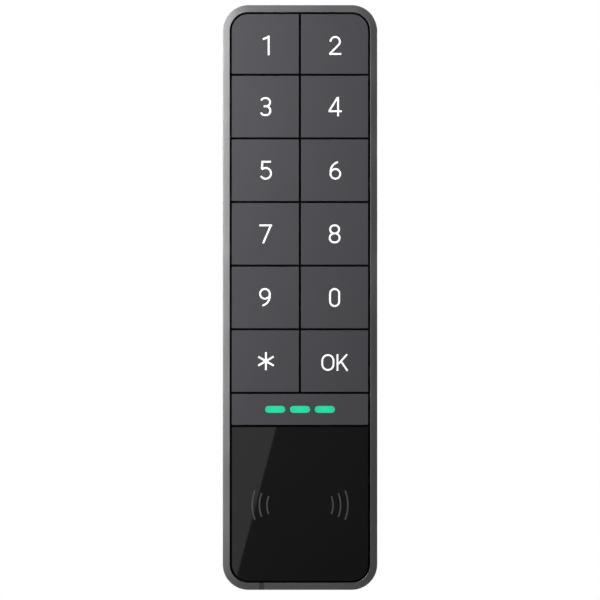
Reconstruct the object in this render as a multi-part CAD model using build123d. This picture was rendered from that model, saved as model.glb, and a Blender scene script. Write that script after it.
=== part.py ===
from build123d import *

import math
import os

# A slim wall-mounted access reader: twelve keys above a status bar and a card window, set in a metal frame.
# The frame hangs on two beads of a wall bracket, swings out about them and is locked by one screw below.
#
# Every piece is drawn lying on its back: x to the right, y up the wall and z out of the wall, with z = 0
# on the wall. The last function stands it up, so that the wall is Y = 0 and the front faces -Y.

# ------------------------------------------------------------------ driving dimensions, in millimetres

# metal frame
WIDTH = 51.0
HEIGHT = 193.0
DEPTH = 25.0
FRAME_CORNER_R = 8.45
RIM = 2.3
RIM_FALL = 0.16
FRAME_CHAMFER = 0.45
FRAME_REAR_CHAMFER = 0.3
FRAME_REAR_GAP = 1.0
LEDGE_W = 1.1
LEDGE_T = 1.5
BREAK_W = 1.75
BREAK_X = -12.7

# the face: keys, bar and window lie level, one gap apart and a hair below the rim
GAP = 0.7
FACE_SINK = 0.1
FACE_CHAMFER = 0.1
FACE_SOFT_R = 0.2

# keys
KEY_ROWS = (("1", "2"), ("3", "4"), ("5", "6"), ("7", "8"), ("9", "0"), ("star", "ok"))
TOP_KEY_H = 19.65
KEY_ROW_PITCH = 21.0
KEY_CAP_T = 2.2
KEY_CAP_WALL = 1.4
KEY_CAP_HOLLOW = 0.9
KEY_TRAVEL = 0.6
PRESS_ROOM = 0.2
STEM_W = 13.0
STEM_H = 11.0
STEM_GAP = 0.15
STEM_CORNER_R = 1.0
HOOK_W = 4.0
HOOK_REACH = 0.6
HOOK_T = 0.8
HOOK_GAP = 0.05
POST_R = 3.6
POST_DROP = 1.3

# status bar
BAR_H = 10.2
BAR_T = 2.0
PILL_L = 6.6
PILL_H = 2.2
PILL_PITCH = 8.2
PILL_COUNT = 3
PILL_GAP = 0.06
PIPE_MARGIN = 1.6
PIPE_SHELF_GAP = 0.05
PIPE_SHELF_CORNER_R = 0.8
PIPE_POCKET_GAP = 0.26
PIPE_POCKET_CORNER_R = 1.0
PIPE_LED_GAP = 0.6
PIPE_OPENING_MARGIN = 0.7
PIPE_OPENING_CORNER_R = 0.5

# card window and antenna
WINDOW_T = 2.0
ADHESIVE_T = 0.3
ADHESIVE_W = 2.0
ADHESIVE_INSET = 0.6
ANTENNA_BOARD_T = 0.8
ANTENNA_EDGE_GAP = 0.4
COIL_T = 0.15
COIL_W = 0.8
COIL_PITCH = 1.4
COIL_TURNS = 4
COIL_MARGIN = 1.2
COIL_HEADROOM = 0.15
FERRITE_T = 0.3
FERRITE_INSET = 1.0
FERRITE_CORNER_R = 1.0
HEADER_W = 5.2
HEADER_H = 2.5
HEADER_T = 2.5
HEADER_DROP = 6.6
PIN_W = 0.64
PIN_PITCH = 2.54
PIN_SLOT_GAP = 0.5

# carrier
CARRIER_T = 1.5
CARRIER_GAP = 0.1

# keypad sheets and boards
DOME_DROP = 2.6
MEMBRANE_T = 1.0
DOME_BASE_R = 4.2
DOME_TOP_R = 3.2
DOME_WALL = 0.8
DOME_ROOF = 0.8
NUB_R = 1.2
SNAP_DOME_R = 2.5
SNAP_DOME_TOP_R = 1.1
SNAP_DOME_H = 0.35
SNAP_GAP = 0.05
GUIDE_T = 0.8
GUIDE_LIFT = 0.4
GUIDE_HOLE_R = 4.9
SHEET_EDGE_GAP = 0.35
SHEET_BOSS_GAP = 0.4
BOARD_T = 1.6
BOARD_EDGE_GAP = 0.25
BOARD_HOLE_GAP = 0.25
LED_W = 1.6
LED_H = 0.8
LED_T = 0.6
LED_RISE = 7.6
LED_WINDOW_GAP = 0.4

# fastening of the board and of the cover
BOARD_BOSS_R = 1.9
BOARD_SCREW_R = 0.9
BOARD_SCREW_HEAD_R = 1.8
BOARD_SCREW_HEAD_T = 1.2
BOARD_SCREW_SOCKET_R = 0.8
BOARD_SCREW_BITE = 3.0
BOARD_SCREW_FROM_BOTTOM = 9.5
BOARD_SCREW_X = 8.0
COVER_BOSS_R = 2.4
COVER_BOSS_EDGE = 3.95
COVER_SCREW_R = 1.2
COVER_SCREW_HEAD_R = 2.2
COVER_SCREW_HEAD_T = 1.6
COVER_SCREW_SOCKET_R = 1.0
COVER_SCREW_SEAT = 4.0
COVER_SCREW_BITE = 4.5
COVER_SCREW_FROM_BOTTOM = 17.5
COVER_POST_R = 3.4
COVER_POST_TOP = 7.6
COVER_HEAD_GAP = 0.3
THREAD_GAP = 0.05
SOCKET_SHARE = 0.6
HEAD_CHAMFER_SHARE = 0.15
SHANK_GAP = 0.2

# rear cover
MOUNT_SPACE = 5.4
TRAY_FLOOR_T = 1.6
TRAY_WALL = 1.5
TRAY_GAP = 0.15
SEAL_T = 0.6
SEAL_INSET = 0.1
WELL_W = 32.0
WELL_H = 27.0
WELL_WALL = 1.2
WELL_FROM_BOTTOM = 39.0
WELL_CORNER_R = 2.0
WELL_HEADROOM = 0.1
GASKET_W = 2.4
GASKET_LIFT = 0.15
VENT_R = 2.0
VENT_FLANGE_R = 3.4
VENT_FLANGE_T = 0.7
VENT_X = -10.0
VENT_FROM_TOP = 46.0

# wall bracket
PLATE_T = 2.0
PLATE_GAP = 0.5
PLATE_CORNER_R = 5.2
PLATE_TOP_DROP = 6.2
PLATE_RIB_W = 1.6
PLATE_RIB_H = 1.4
PLATE_RIB_INSET = 1.2
PLATE_RIB_CORNER_R = 0.7
PAD_DEPTH = 0.6
PAD_INSET = 4.0
PAD_H = 34.0
PAD_GAP = 12.0
PAD_CORNER_R = 2.0
PLATE_CHAMFER = 0.4
WALL_HOLE_R = 2.1
WALL_HOLE_SPACING_X = 26.0
WALL_HOLE_FROM_TOP = 24.5
WALL_HOLE_FROM_BOTTOM = 18.5
CABLE_OPENING_W = 28.0
CABLE_OPENING_H = 14.0
CABLE_OPENING_RISE = 4.5
CABLE_CORNER_R = 3.0

# hinge at the top and lock at the bottom
HINGE_Z = 3.1
HINGE_DROP = 2.6
BEAD_R = 1.1
BEAD_GAP = 0.08
CLIP_WALL = 1.05
CLIP_L = 7.0
TONGUE_W = 8.0
TONGUE_T = 1.1
TONGUE_X = 12.0
TONGUE_FOOT = 2.5
SWING_DEG = 10.0
MOUTH_SPARE_DEG = 8.0
LOCK_DROP = 2.5
LOCK_LUG_W = 10.0
LOCK_LUG_H = 7.5
LOCK_LUG_GAP = 0.4
LOCK_INSERT_R = 1.8
LOCK_INSERT_L = 5.0
LOCK_SCREW_R = 1.25
LOCK_SCREW_BITE = 5.0
LOCK_HEAD_SHARE = 0.83
LOCK_HEAD_T = 1.1
LOCK_HEAD_SINK = 0.1
LOCK_NOTCH_GAP = 0.3
LOCK_SOCKET_R = 0.75

# tamper pin
TAMPER_X = 12.5
TAMPER_FROM_TOP = 56.0
TAMPER_TRAVEL = 1.5
TAMPER_PIN_R = 1.6
TAMPER_PIN_GAP = 0.09
TAMPER_PIN_CHAMFER = 0.4
TAMPER_PLATE_HOLE_R = 3.4
TAMPER_FLANGE_R = 3.0
TAMPER_FLANGE_T = 0.8
TAMPER_STOP_GAP = 0.1
TAMPER_POST_R = 1.2
TAMPER_SWITCH_W = 6.4
TAMPER_SWITCH_T = 3.4
TAMPER_SWITCH_CORNER_R = 0.4
TAMPER_NUB_R = 1.1
TAMPER_NUB_T = 0.6
SPRING_R = 2.2
SPRING_WIRE_R = 0.18
SPRING_SEAT_GAP = 0.04
SPRING_TURNS = 3.5

# parts soldered to the back of the main board: width, height, thickness, x and distance from the top end
SOLDERED_CORNER_R = 0.2
CONTROLLER = (10.0, 10.0, 1.4, -7.0, 46.0)
CRYSTAL = (11.5, 4.8, 3.5, 7.5, 44.0)
RELAY = (19.0, 15.0, 7.0, -3.0, 76.0)
READER_CHIP = (6.0, 6.0, 0.9)
READER_CHIP_FROM_BOTTOM = 17.5
BUZZER_R = 6.0
BUZZER_T = 6.0
BUZZER_X = -8.0
BUZZER_FROM_TOP = 61.0
BUZZER_HOLE_R = 0.9
CAPACITOR_R = 3.15
CAPACITOR_T = 5.8
CAPACITOR_X = 11.5
CAPACITOR_FROM_TOP = 72.0
PASSIVE_W = 1.6
PASSIVE_H = 0.8
PASSIVE_T = 0.7
PASSIVE_PITCH_X = 3.6
PASSIVE_PITCH_Y = 2.4
PASSIVE_COLUMNS = 8
PASSIVE_LINES = 3
PASSIVES_FROM_TOP = 33.0
TERMINAL_WAYS = 8
TERMINAL_PITCH = 3.5
TERMINAL_H = 7.6
TERMINAL_T = 6.6
TERMINAL_END = 0.7
TERMINAL_DROP = 8.6
TERMINAL_SCREW_R = 1.3
TERMINAL_SCREW_T = 1.6
TERMINAL_SCREW_SINK = 0.4
TERMINAL_SLOT_W = 0.5
TERMINAL_ENTRY_W = 2.4
TERMINAL_ENTRY_D = 4.0

# ------------------------------------------------------------------ levels and outlines worked out from them

FRONT = DEPTH
FACE_FRONT = FRONT - FACE_SINK
INNER_W = WIDTH - 2 * RIM
INNER_H = HEIGHT - 2 * RIM
INNER_R = FRAME_CORNER_R - RIM
FACE_W = INNER_W - 2 * GAP
FACE_H = INNER_H - 2 * GAP
FACE_R = INNER_R - GAP
FACE_RIGHT = FACE_W / 2
FACE_TOP = FACE_H / 2
TOP_END = HEIGHT / 2
BOTTOM_END = -HEIGHT / 2

CARRIER_FRONT = FACE_FRONT - KEY_CAP_T - KEY_TRAVEL - PRESS_ROOM
CARRIER_REAR = CARRIER_FRONT - CARRIER_T
LEDGE_REAR = CARRIER_REAR - LEDGE_T
TRAY_TOP = LEDGE_REAR - SEAL_T
KEY_POST_END = CARRIER_REAR - POST_DROP
BOARD_FRONT = KEY_POST_END - DOME_DROP
BOARD_REAR = BOARD_FRONT - BOARD_T
MEMBRANE_TOP = BOARD_FRONT + MEMBRANE_T
GUIDE_REAR = MEMBRANE_TOP + GUIDE_LIFT
TRAY_FLOOR_TOP = MOUNT_SPACE + TRAY_FLOOR_T
COVER_BOSS_END = MOUNT_SPACE + COVER_POST_TOP

TRAY_W = INNER_W - 2 * TRAY_GAP
TRAY_H = INNER_H - 2 * TRAY_GAP
TRAY_R = INNER_R - TRAY_GAP
CAVITY_W = TRAY_W - 2 * TRAY_WALL
CAVITY_H = TRAY_H - 2 * TRAY_WALL
CAVITY_R = TRAY_R - TRAY_WALL
BOARD_W = CAVITY_W - 2 * BOARD_EDGE_GAP
BOARD_H = CAVITY_H - 2 * BOARD_EDGE_GAP

ROW_LINES = [FACE_TOP - TOP_KEY_H - GAP / 2 - KEY_ROW_PITCH * row for row in range(len(KEY_ROWS))]
BAR_TOP = ROW_LINES[-1] - GAP / 2
BAR_BOTTOM = BAR_TOP - BAR_H
BAR_Y = (BAR_TOP + BAR_BOTTOM) / 2
BAR_SEAT = FACE_FRONT - BAR_T
WINDOW_TOP = BAR_BOTTOM - GAP
WINDOW_H = WINDOW_TOP + FACE_TOP
WINDOW_Y = (WINDOW_TOP - FACE_TOP) / 2
WINDOW_REAR = FACE_FRONT - WINDOW_T
WINDOW_SEAT = WINDOW_REAR - ADHESIVE_T
POCKET_EDGE = ADHESIVE_INSET + ADHESIVE_W
POCKET_FLOOR = WINDOW_SEAT - COIL_HEADROOM - COIL_T - ANTENNA_BOARD_T - FERRITE_T
HEADER_Y = WINDOW_TOP - HEADER_DROP

HINGE_Y = INNER_H / 2 - HINGE_DROP
PLATE_TOP = INNER_H / 2 - PLATE_TOP_DROP
PLATE_BOTTOM = -INNER_H / 2 + PLATE_GAP
LOCK_Z = MOUNT_SPACE - LOCK_DROP
LOCK_LUG_T = MOUNT_SPACE - LOCK_LUG_GAP
LOCK_HEAD_R = LOCK_Z * LOCK_HEAD_SHARE
WELL_Y = BOTTOM_END + WELL_FROM_BOTTOM
TERMINAL_Y = WELL_Y - TERMINAL_DROP
CABLE_Y = WELL_Y + CABLE_OPENING_RISE
TAMPER_Y = TOP_END - TAMPER_FROM_TOP
TAMPER_FLANGE_Z = TRAY_FLOOR_TOP + TAMPER_STOP_GAP + TAMPER_TRAVEL

COVER_BOSS_X = CAVITY_W / 2 - COVER_BOSS_EDGE
COVER_BOSSES = [
    (side * COVER_BOSS_X, y)
    for side in (-1, 1)
    for y in (ROW_LINES[0], ROW_LINES[3], BOTTOM_END + COVER_SCREW_FROM_BOTTOM)
]
BOARD_BOSSES = [(0, ROW_LINES[0]), (0, ROW_LINES[3])] + [
    (side * BOARD_SCREW_X, BOTTOM_END + BOARD_SCREW_FROM_BOTTOM) for side in (-1, 1)
]
WALL_HOLES = [
    (side * WALL_HOLE_SPACING_X / 2, y)
    for side in (-1, 1)
    for y in (TOP_END - WALL_HOLE_FROM_TOP, BOTTOM_END + WALL_HOLE_FROM_BOTTOM)
]
PILLS = [(PILL_PITCH * (i - (PILL_COUNT - 1) / 2), BAR_Y) for i in range(PILL_COUNT)]

# ------------------------------------------------------------------ helpers

ON_BASE = (Align.CENTER, Align.CENTER, Align.MIN)


def block(width, height, low, high, x=0.0, y=0.0):
    """Rectangular block between two levels."""
    return Pos(x, y, low) * Box(width, height, high - low, align=ON_BASE)


def slab(width, height, radius, low, high, x=0.0, y=0.0):
    """Block with round upright corners."""
    return extrude(Pos(x, y, low) * RectangleRounded(width, height, radius), high - low)


def rod(radius, low, high, x=0.0, y=0.0):
    """Round rod along z."""
    return Pos(x, y, low) * Cylinder(radius, high - low, align=ON_BASE)


def cross_rod(radius, length, x, y, z):
    """Round rod along x, centred on a point."""
    return Pos(x, y, z) * Rot(0, 90, 0) * Cylinder(radius, length)


def upright_rod(radius, bottom, top, x, z):
    """Round rod along y."""
    return Pos(x, bottom, z) * Rot(-90, 0, 0) * Cylinder(radius, top - bottom, align=ON_BASE)


def pill(length, height, low, high, x, y):
    """Block with full-round ends."""
    return extrude(Pos(x, y, low) * SlotOverall(length, height), high - low)


def cell(left, right, bottom, top, inset=0.0):
    """Part of the face between four lines, which takes the face's own round corners."""
    face = RectangleRounded(FACE_W - 2 * inset, FACE_H - 2 * inset, FACE_R - inset)
    window = Pos((left + right) / 2, (bottom + top) / 2) * Rectangle(
        right - left - 2 * inset, top - bottom - 2 * inset
    )
    return window & face


def face_plate(left, right, bottom, top, low):
    """Plate of the face, with softened upright corners and a fine chamfer round its front."""
    plate = extrude(Pos(0, 0, low) * cell(left, right, bottom, top), FACE_FRONT - low)
    sharp = [
        edge
        for edge in plate.edges().filter_by(Axis.Z)
        if min(abs(edge.center().X - left), abs(edge.center().X - right)) < GAP / 10
        and min(abs(edge.center().Y - bottom), abs(edge.center().Y - top)) < GAP / 10
    ]
    plate = fillet(sharp, FACE_SOFT_R)
    return chamfer(plate.faces().sort_by(Axis.Z)[-1].edges(), FACE_CHAMFER)


def key_bounds(row, column):
    """Left, right, bottom and top of a key."""
    top = FACE_TOP if row == 0 else ROW_LINES[row - 1] - GAP / 2
    bottom = ROW_LINES[row] + GAP / 2
    inner = GAP / 2
    left, right = (-FACE_RIGHT, -inner) if column == 0 else (inner, FACE_RIGHT)
    return left, right, bottom, top


def key_center(row, column):
    """Middle of a key."""
    left, right, bottom, top = key_bounds(row, column)
    return (left + right) / 2, (bottom + top) / 2


KEY_CENTERS = [key_center(row, column) for row in range(len(KEY_ROWS)) for column in range(2)]


def screw(radius, head_radius, head_t, length, socket_radius):
    """Screw along +z with its head's free end at z = 0 and a hexagon socket in it."""
    body = rod(head_radius, 0, head_t)
    body += rod(radius, head_t, head_t + length)
    body -= extrude(RegularPolygon(socket_radius, 6), head_t * SOCKET_SHARE)
    rim = body.edges().filter_by(GeomType.CIRCLE).sort_by(Axis.Z)[0]
    return chamfer(rim, head_t * HEAD_CHAMFER_SHARE)


def soldered(size, x, y):
    """Small part on the back of the main board."""
    width, height, thickness = size
    return slab(width, height, SOLDERED_CORNER_R, BOARD_REAR - thickness, BOARD_REAR, x, y)


# ------------------------------------------------------------------ frame and face


def frame_ring():
    """Whole metal ring before the insulating break is cut through it."""
    ring = slab(WIDTH, HEIGHT, FRAME_CORNER_R, FRAME_REAR_GAP, FRONT)
    front = ring.faces().sort_by(Axis.Z)[-1]
    ring = chamfer(front.edges(), RIM, RIM_FALL, reference=front)
    heights = {edge: edge.bounding_box() for edge in ring.edges()}
    shoulder = FRONT - RIM_FALL
    outer = [
        edge
        for edge, box in heights.items()
        if abs(box.min.Z - shoulder) + abs(box.max.Z - shoulder) < RIM_FALL / 10
    ]
    ring = chamfer(outer, FRAME_CHAMFER)
    ring = chamfer(ring.faces().sort_by(Axis.Z)[0].edges(), FRAME_REAR_CHAMFER)
    ledge_w = INNER_W - 2 * LEDGE_W
    ledge_h = INNER_H - 2 * LEDGE_W
    ring -= slab(ledge_w, ledge_h, INNER_R - LEDGE_W, FRAME_REAR_GAP, FRONT)
    ring -= slab(INNER_W, INNER_H, INNER_R, CARRIER_REAR, FRONT)
    ring -= slab(INNER_W, INNER_H, INNER_R, FRAME_REAR_GAP, LEDGE_REAR)
    return ring - lock_notch()


def lock_notch():
    """Notch in the frame's bottom wall, open to the rear, that slides past the lock screw."""
    wall_mid = (BOTTOM_END - INNER_H / 2) / 2
    shank = LOCK_SCREW_R + LOCK_NOTCH_GAP
    head = LOCK_HEAD_R + LOCK_NOTCH_GAP
    head_depth = LOCK_HEAD_T + LOCK_HEAD_SINK
    notch = block(2 * shank, 2 * RIM, 0, LOCK_Z, 0, wall_mid)
    notch += upright_rod(shank, BOTTOM_END - RIM, BOTTOM_END + 2 * RIM, 0, LOCK_Z)
    notch += block(2 * head, 2 * head_depth, 0, LOCK_Z, 0, BOTTOM_END)
    notch += upright_rod(head, BOTTOM_END - head_depth, BOTTOM_END + head_depth, 0, LOCK_Z)
    return notch


def break_region():
    """Slice of the frame's bottom wall that the insulating insert fills."""
    return block(BREAK_W, 4 * RIM, 0, FRONT, BREAK_X, BOTTOM_END)


def make_front_carrier():
    """Black plate behind the face, with guides for the keys, seats for bar and window, and screw bosses."""
    width = INNER_W - 2 * CARRIER_GAP
    height = INNER_H - 2 * CARRIER_GAP
    carrier = slab(width, height, INNER_R - CARRIER_GAP, CARRIER_REAR, CARRIER_FRONT)
    for x, y in KEY_CENTERS:
        carrier -= slab(
            STEM_W + 2 * STEM_GAP, STEM_H + 2 * STEM_GAP, STEM_CORNER_R, CARRIER_REAR, CARRIER_FRONT, x, y
        )
    bar_seat = cell(-FACE_RIGHT, FACE_RIGHT, BAR_BOTTOM, BAR_TOP, ADHESIVE_INSET)
    carrier += extrude(Pos(0, 0, CARRIER_FRONT) * bar_seat, BAR_SEAT - CARRIER_FRONT)
    pocket_w = pipe_shelf_w() + 2 * PIPE_POCKET_GAP
    pocket_h = pipe_shelf_h() + 2 * PIPE_POCKET_GAP
    carrier -= slab(pocket_w, pocket_h, PIPE_POCKET_CORNER_R, CARRIER_FRONT, BAR_SEAT, 0, BAR_Y)
    carrier -= slab(
        pill_span() + 2 * PIPE_OPENING_MARGIN, PILL_H + 2 * PIPE_OPENING_MARGIN,
        PIPE_OPENING_CORNER_R, CARRIER_REAR, CARRIER_FRONT, 0, BAR_Y,
    )
    window_seat = cell(-FACE_RIGHT, FACE_RIGHT, -FACE_TOP, WINDOW_TOP, ADHESIVE_INSET)
    pocket = cell(-FACE_RIGHT, FACE_RIGHT, -FACE_TOP, WINDOW_TOP, POCKET_EDGE)
    carrier += extrude(Pos(0, 0, CARRIER_FRONT) * window_seat, WINDOW_SEAT - CARRIER_FRONT)
    carrier -= extrude(Pos(0, 0, POCKET_FLOOR) * pocket, WINDOW_SEAT - POCKET_FLOOR)
    carrier -= header_slot(CARRIER_REAR, POCKET_FLOOR)
    for x, y in BOARD_BOSSES:
        carrier += rod(BOARD_BOSS_R, BOARD_FRONT, CARRIER_REAR, x, y)
        carrier -= rod(BOARD_SCREW_R + THREAD_GAP, BOARD_FRONT, BOARD_FRONT + BOARD_SCREW_BITE, x, y)
    for x, y in COVER_BOSSES:
        carrier += rod(COVER_BOSS_R, COVER_BOSS_END, CARRIER_REAR, x, y)
        carrier -= rod(COVER_SCREW_R + THREAD_GAP, COVER_BOSS_END, COVER_BOSS_END + COVER_SCREW_BITE, x, y)
    return carrier


def make_key(row, column):
    """Key: thin cap, guided stem with two hooks behind the carrier, and the post that presses the dome."""
    left, right, bottom, top = key_bounds(row, column)
    x, y = key_center(row, column)
    cap_rear = FACE_FRONT - KEY_CAP_T
    stem_rear = CARRIER_REAR - HOOK_GAP - HOOK_T
    key = face_plate(left, right, bottom, top, cap_rear)
    hollow = cell(left, right, bottom, top, KEY_CAP_WALL)
    key -= extrude(Pos(0, 0, cap_rear) * hollow, KEY_CAP_HOLLOW)
    key += slab(STEM_W, STEM_H, STEM_CORNER_R, stem_rear, cap_rear + KEY_CAP_HOLLOW, x, y)
    hook_span = STEM_H + 2 * (STEM_GAP + HOOK_REACH)
    key += block(HOOK_W, hook_span, stem_rear, stem_rear + HOOK_T, x, y)
    key += rod(POST_R, KEY_POST_END, stem_rear, x, y)
    return key


def pill_span():
    """Length of the row of lights."""
    return PILL_L + PILL_PITCH * (PILL_COUNT - 1)


def pipe_shelf_w():
    """Width of the shelf that joins the light pipes."""
    return pill_span() + 2 * PIPE_MARGIN


def pipe_shelf_h():
    """Height of that shelf."""
    return PILL_H + 2 * PIPE_MARGIN


def make_status_bar():
    """Fixed bar under the keys with three openings for its lights."""
    bar = face_plate(-FACE_RIGHT, FACE_RIGHT, BAR_BOTTOM, BAR_TOP, BAR_SEAT)
    for x, y in PILLS:
        bar -= pill(PILL_L + 2 * PILL_GAP, PILL_H + 2 * PILL_GAP, BAR_SEAT, FACE_FRONT, x, y)
    return bar


def make_status_light_guide():
    """Clear piece with three light pipes on one shelf."""
    shelf_low = CARRIER_FRONT + PIPE_SHELF_GAP
    shelf_high = BAR_SEAT - PIPE_SHELF_GAP
    guide = slab(pipe_shelf_w(), pipe_shelf_h(), PIPE_SHELF_CORNER_R, shelf_low, shelf_high, 0, BAR_Y)
    pipe_end = BOARD_FRONT + LED_T + PIPE_LED_GAP
    for x, y in PILLS:
        guide += pill(PILL_L, PILL_H, pipe_end, FACE_FRONT, x, y)
    return guide


def make_window_adhesive():
    """Ring of bonding film under the edge of the window."""
    outer = cell(-FACE_RIGHT, FACE_RIGHT, -FACE_TOP, WINDOW_TOP, ADHESIVE_INSET)
    inner = cell(-FACE_RIGHT, FACE_RIGHT, -FACE_TOP, WINDOW_TOP, POCKET_EDGE)
    return extrude(Pos(0, 0, WINDOW_SEAT) * (outer - inner), ADHESIVE_T)


# ------------------------------------------------------------------ antenna


def header_slot(low, high):
    """Opening for the two pins that feed the antenna."""
    width = PIN_PITCH + PIN_W + 2 * PIN_SLOT_GAP
    return block(width, PIN_W + 2 * PIN_SLOT_GAP, low, high, 0, HEADER_Y)


def antenna_w(inset):
    """Width of a sheet in the window's pocket."""
    return FACE_W - 2 * (POCKET_EDGE + ANTENNA_EDGE_GAP + inset)


def antenna_h(inset):
    """Height of such a sheet."""
    return WINDOW_H - 2 * (POCKET_EDGE + ANTENNA_EDGE_GAP + inset)


def make_antenna_board():
    """Board that carries the coil."""
    low = POCKET_FLOOR + FERRITE_T
    return slab(antenna_w(0), antenna_h(0), FACE_R - POCKET_EDGE, low, low + ANTENNA_BOARD_T, 0, WINDOW_Y)


def make_ferrite_sheet():
    """Sheet that keeps the field off the boards behind it."""
    sheet = slab(
        antenna_w(FERRITE_INSET), antenna_h(FERRITE_INSET), FERRITE_CORNER_R,
        POCKET_FLOOR, POCKET_FLOOR + FERRITE_T, 0, WINDOW_Y,
    )
    return sheet - header_slot(POCKET_FLOOR, POCKET_FLOOR + FERRITE_T)


def make_antenna_coil():
    """Flat square spiral that runs inwards by one pitch a turn."""
    half_w = antenna_w(COIL_MARGIN) / 2
    half_h = antenna_h(COIL_MARGIN) / 2
    points = [(-half_w, WINDOW_Y - half_h + COIL_PITCH)]
    for turn in range(COIL_TURNS):
        x = half_w - turn * COIL_PITCH
        y = half_h - turn * COIL_PITCH
        points += [
            (-x, WINDOW_Y + y),
            (x, WINDOW_Y + y),
            (x, WINDOW_Y - y),
            (-x + COIL_PITCH, WINDOW_Y - y),
        ]
    path = Polyline(*points)
    low = POCKET_FLOOR + FERRITE_T + ANTENNA_BOARD_T
    return extrude(Pos(0, 0, low) * trace(path, COIL_W), COIL_T)


def make_antenna_header():
    """Two-pin header between the main board and the antenna board."""
    header = block(HEADER_W, HEADER_H, BOARD_FRONT, BOARD_FRONT + HEADER_T, 0, HEADER_Y)
    for side in (-1, 1):
        header += block(
            PIN_W, PIN_W, BOARD_FRONT + HEADER_T, POCKET_FLOOR + FERRITE_T, side * PIN_PITCH / 2, HEADER_Y
        )
    return header


# ------------------------------------------------------------------ keypad sheets and main board


def keypad_sheet(low, thickness):
    """Sheet that covers the keypad and clears the carrier's bosses."""
    top = CAVITY_H / 2 - SHEET_EDGE_GAP
    bottom = ROW_LINES[-1] + GAP
    width = CAVITY_W - 2 * SHEET_EDGE_GAP
    sheet = slab(width, top - bottom, CAVITY_R - SHEET_EDGE_GAP, low, low + thickness, 0, (top + bottom) / 2)
    for x, y in BOARD_BOSSES:
        sheet -= rod(BOARD_BOSS_R + SHEET_BOSS_GAP, low, low + thickness, x, y)
    for x, y in COVER_BOSSES:
        sheet -= rod(COVER_BOSS_R + SHEET_BOSS_GAP, low, low + thickness, x, y)
    return sheet


def led_spots():
    """Places of the keypad's lamps, one above the dome of each key."""
    return [(x, y + LED_RISE) for x, y in KEY_CENTERS]


def make_keypad_membrane():
    """Silicone sheet with a hollow dome and an inner nub under each key."""
    membrane = keypad_sheet(BOARD_FRONT, MEMBRANE_T)
    roof = KEY_POST_END - DOME_ROOF
    nub_end = BOARD_FRONT + SNAP_DOME_H + KEY_TRAVEL + SNAP_GAP
    for x, y in KEY_CENTERS:
        membrane += Pos(x, y, MEMBRANE_TOP) * Cone(
            DOME_BASE_R, DOME_TOP_R, KEY_POST_END - MEMBRANE_TOP, align=ON_BASE
        )
        membrane -= Pos(x, y, BOARD_FRONT) * Cone(
            DOME_BASE_R - DOME_WALL, DOME_TOP_R - DOME_WALL, roof - BOARD_FRONT, align=ON_BASE
        )
        membrane += rod(NUB_R, nub_end, roof, x, y)
    for x, y in led_spots():
        membrane -= block(
            LED_W + 2 * LED_WINDOW_GAP, LED_H + 2 * LED_WINDOW_GAP, BOARD_FRONT, MEMBRANE_TOP, x, y
        )
    return membrane


def make_snap_domes():
    """Twelve steel domes on the main board."""
    return [
        Pos(x, y, BOARD_FRONT) * Cone(SNAP_DOME_R, SNAP_DOME_TOP_R, SNAP_DOME_H, align=ON_BASE)
        for x, y in KEY_CENTERS
    ]


def make_backlight_guide():
    """Clear sheet that spreads the lamps' light behind the keys."""
    guide = keypad_sheet(GUIDE_REAR, GUIDE_T)
    for x, y in KEY_CENTERS:
        guide -= rod(GUIDE_HOLE_R, GUIDE_REAR, GUIDE_REAR + GUIDE_T, x, y)
    return guide


def make_leds(spots):
    """Small lamps on the front of the main board."""
    return [block(LED_W, LED_H, BOARD_FRONT, BOARD_FRONT + LED_T, x, y) for x, y in spots]


def make_main_board():
    """Circuit board, cut out round the cover's bosses."""
    board = slab(BOARD_W, BOARD_H, CAVITY_R - BOARD_EDGE_GAP, BOARD_REAR, BOARD_FRONT)
    for x, y in BOARD_BOSSES:
        board -= rod(BOARD_SCREW_R + SHANK_GAP, BOARD_REAR, BOARD_FRONT, x, y)
    for x, y in COVER_BOSSES:
        board -= rod(COVER_BOSS_R + BOARD_HOLE_GAP, BOARD_REAR, BOARD_FRONT, x, y)
    return board


def make_board_screws():
    """Screws that hold the main board to the carrier."""
    low = BOARD_REAR - BOARD_SCREW_HEAD_T
    length = BOARD_T + BOARD_SCREW_BITE - THREAD_GAP
    one = screw(BOARD_SCREW_R, BOARD_SCREW_HEAD_R, BOARD_SCREW_HEAD_T, length, BOARD_SCREW_SOCKET_R)
    return [Pos(x, y, low) * one for x, y in BOARD_BOSSES]


def make_board_passives():
    """Lines of small parts on the back of the main board."""
    first_x = -PASSIVE_PITCH_X * (PASSIVE_COLUMNS - 1) / 2
    first_y = TOP_END - PASSIVES_FROM_TOP
    return [
        block(
            PASSIVE_W, PASSIVE_H, BOARD_REAR - PASSIVE_T, BOARD_REAR,
            first_x + column * PASSIVE_PITCH_X, first_y - line * PASSIVE_PITCH_Y,
        )
        for column in range(PASSIVE_COLUMNS)
        for line in range(PASSIVE_LINES)
    ]


def from_top(part):
    """One soldered part given by its size, x and distance from the top end."""
    width, height, thickness, x, drop = part
    return soldered((width, height, thickness), x, TOP_END - drop)


def make_buzzer():
    """Round sounder with a hole in its face."""
    y = TOP_END - BUZZER_FROM_TOP
    low = BOARD_REAR - BUZZER_T
    buzzer = rod(BUZZER_R, low, BOARD_REAR, BUZZER_X, y)
    return buzzer - rod(BUZZER_HOLE_R, low, low + BUZZER_T / 2, BUZZER_X, y)


def make_power_capacitor():
    """Round capacitor with a shoulder at its foot."""
    y = TOP_END - CAPACITOR_FROM_TOP
    can = rod(CAPACITOR_R, BOARD_REAR - CAPACITOR_T, BOARD_REAR - PASSIVE_T, CAPACITOR_X, y)
    return can + block(2 * CAPACITOR_R, 2 * CAPACITOR_R, BOARD_REAR - PASSIVE_T, BOARD_REAR, CAPACITOR_X, y)


def terminal_spots():
    """Middle of each way of the terminal block."""
    return [TERMINAL_PITCH * (i - (TERMINAL_WAYS - 1) / 2) for i in range(TERMINAL_WAYS)]


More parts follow.
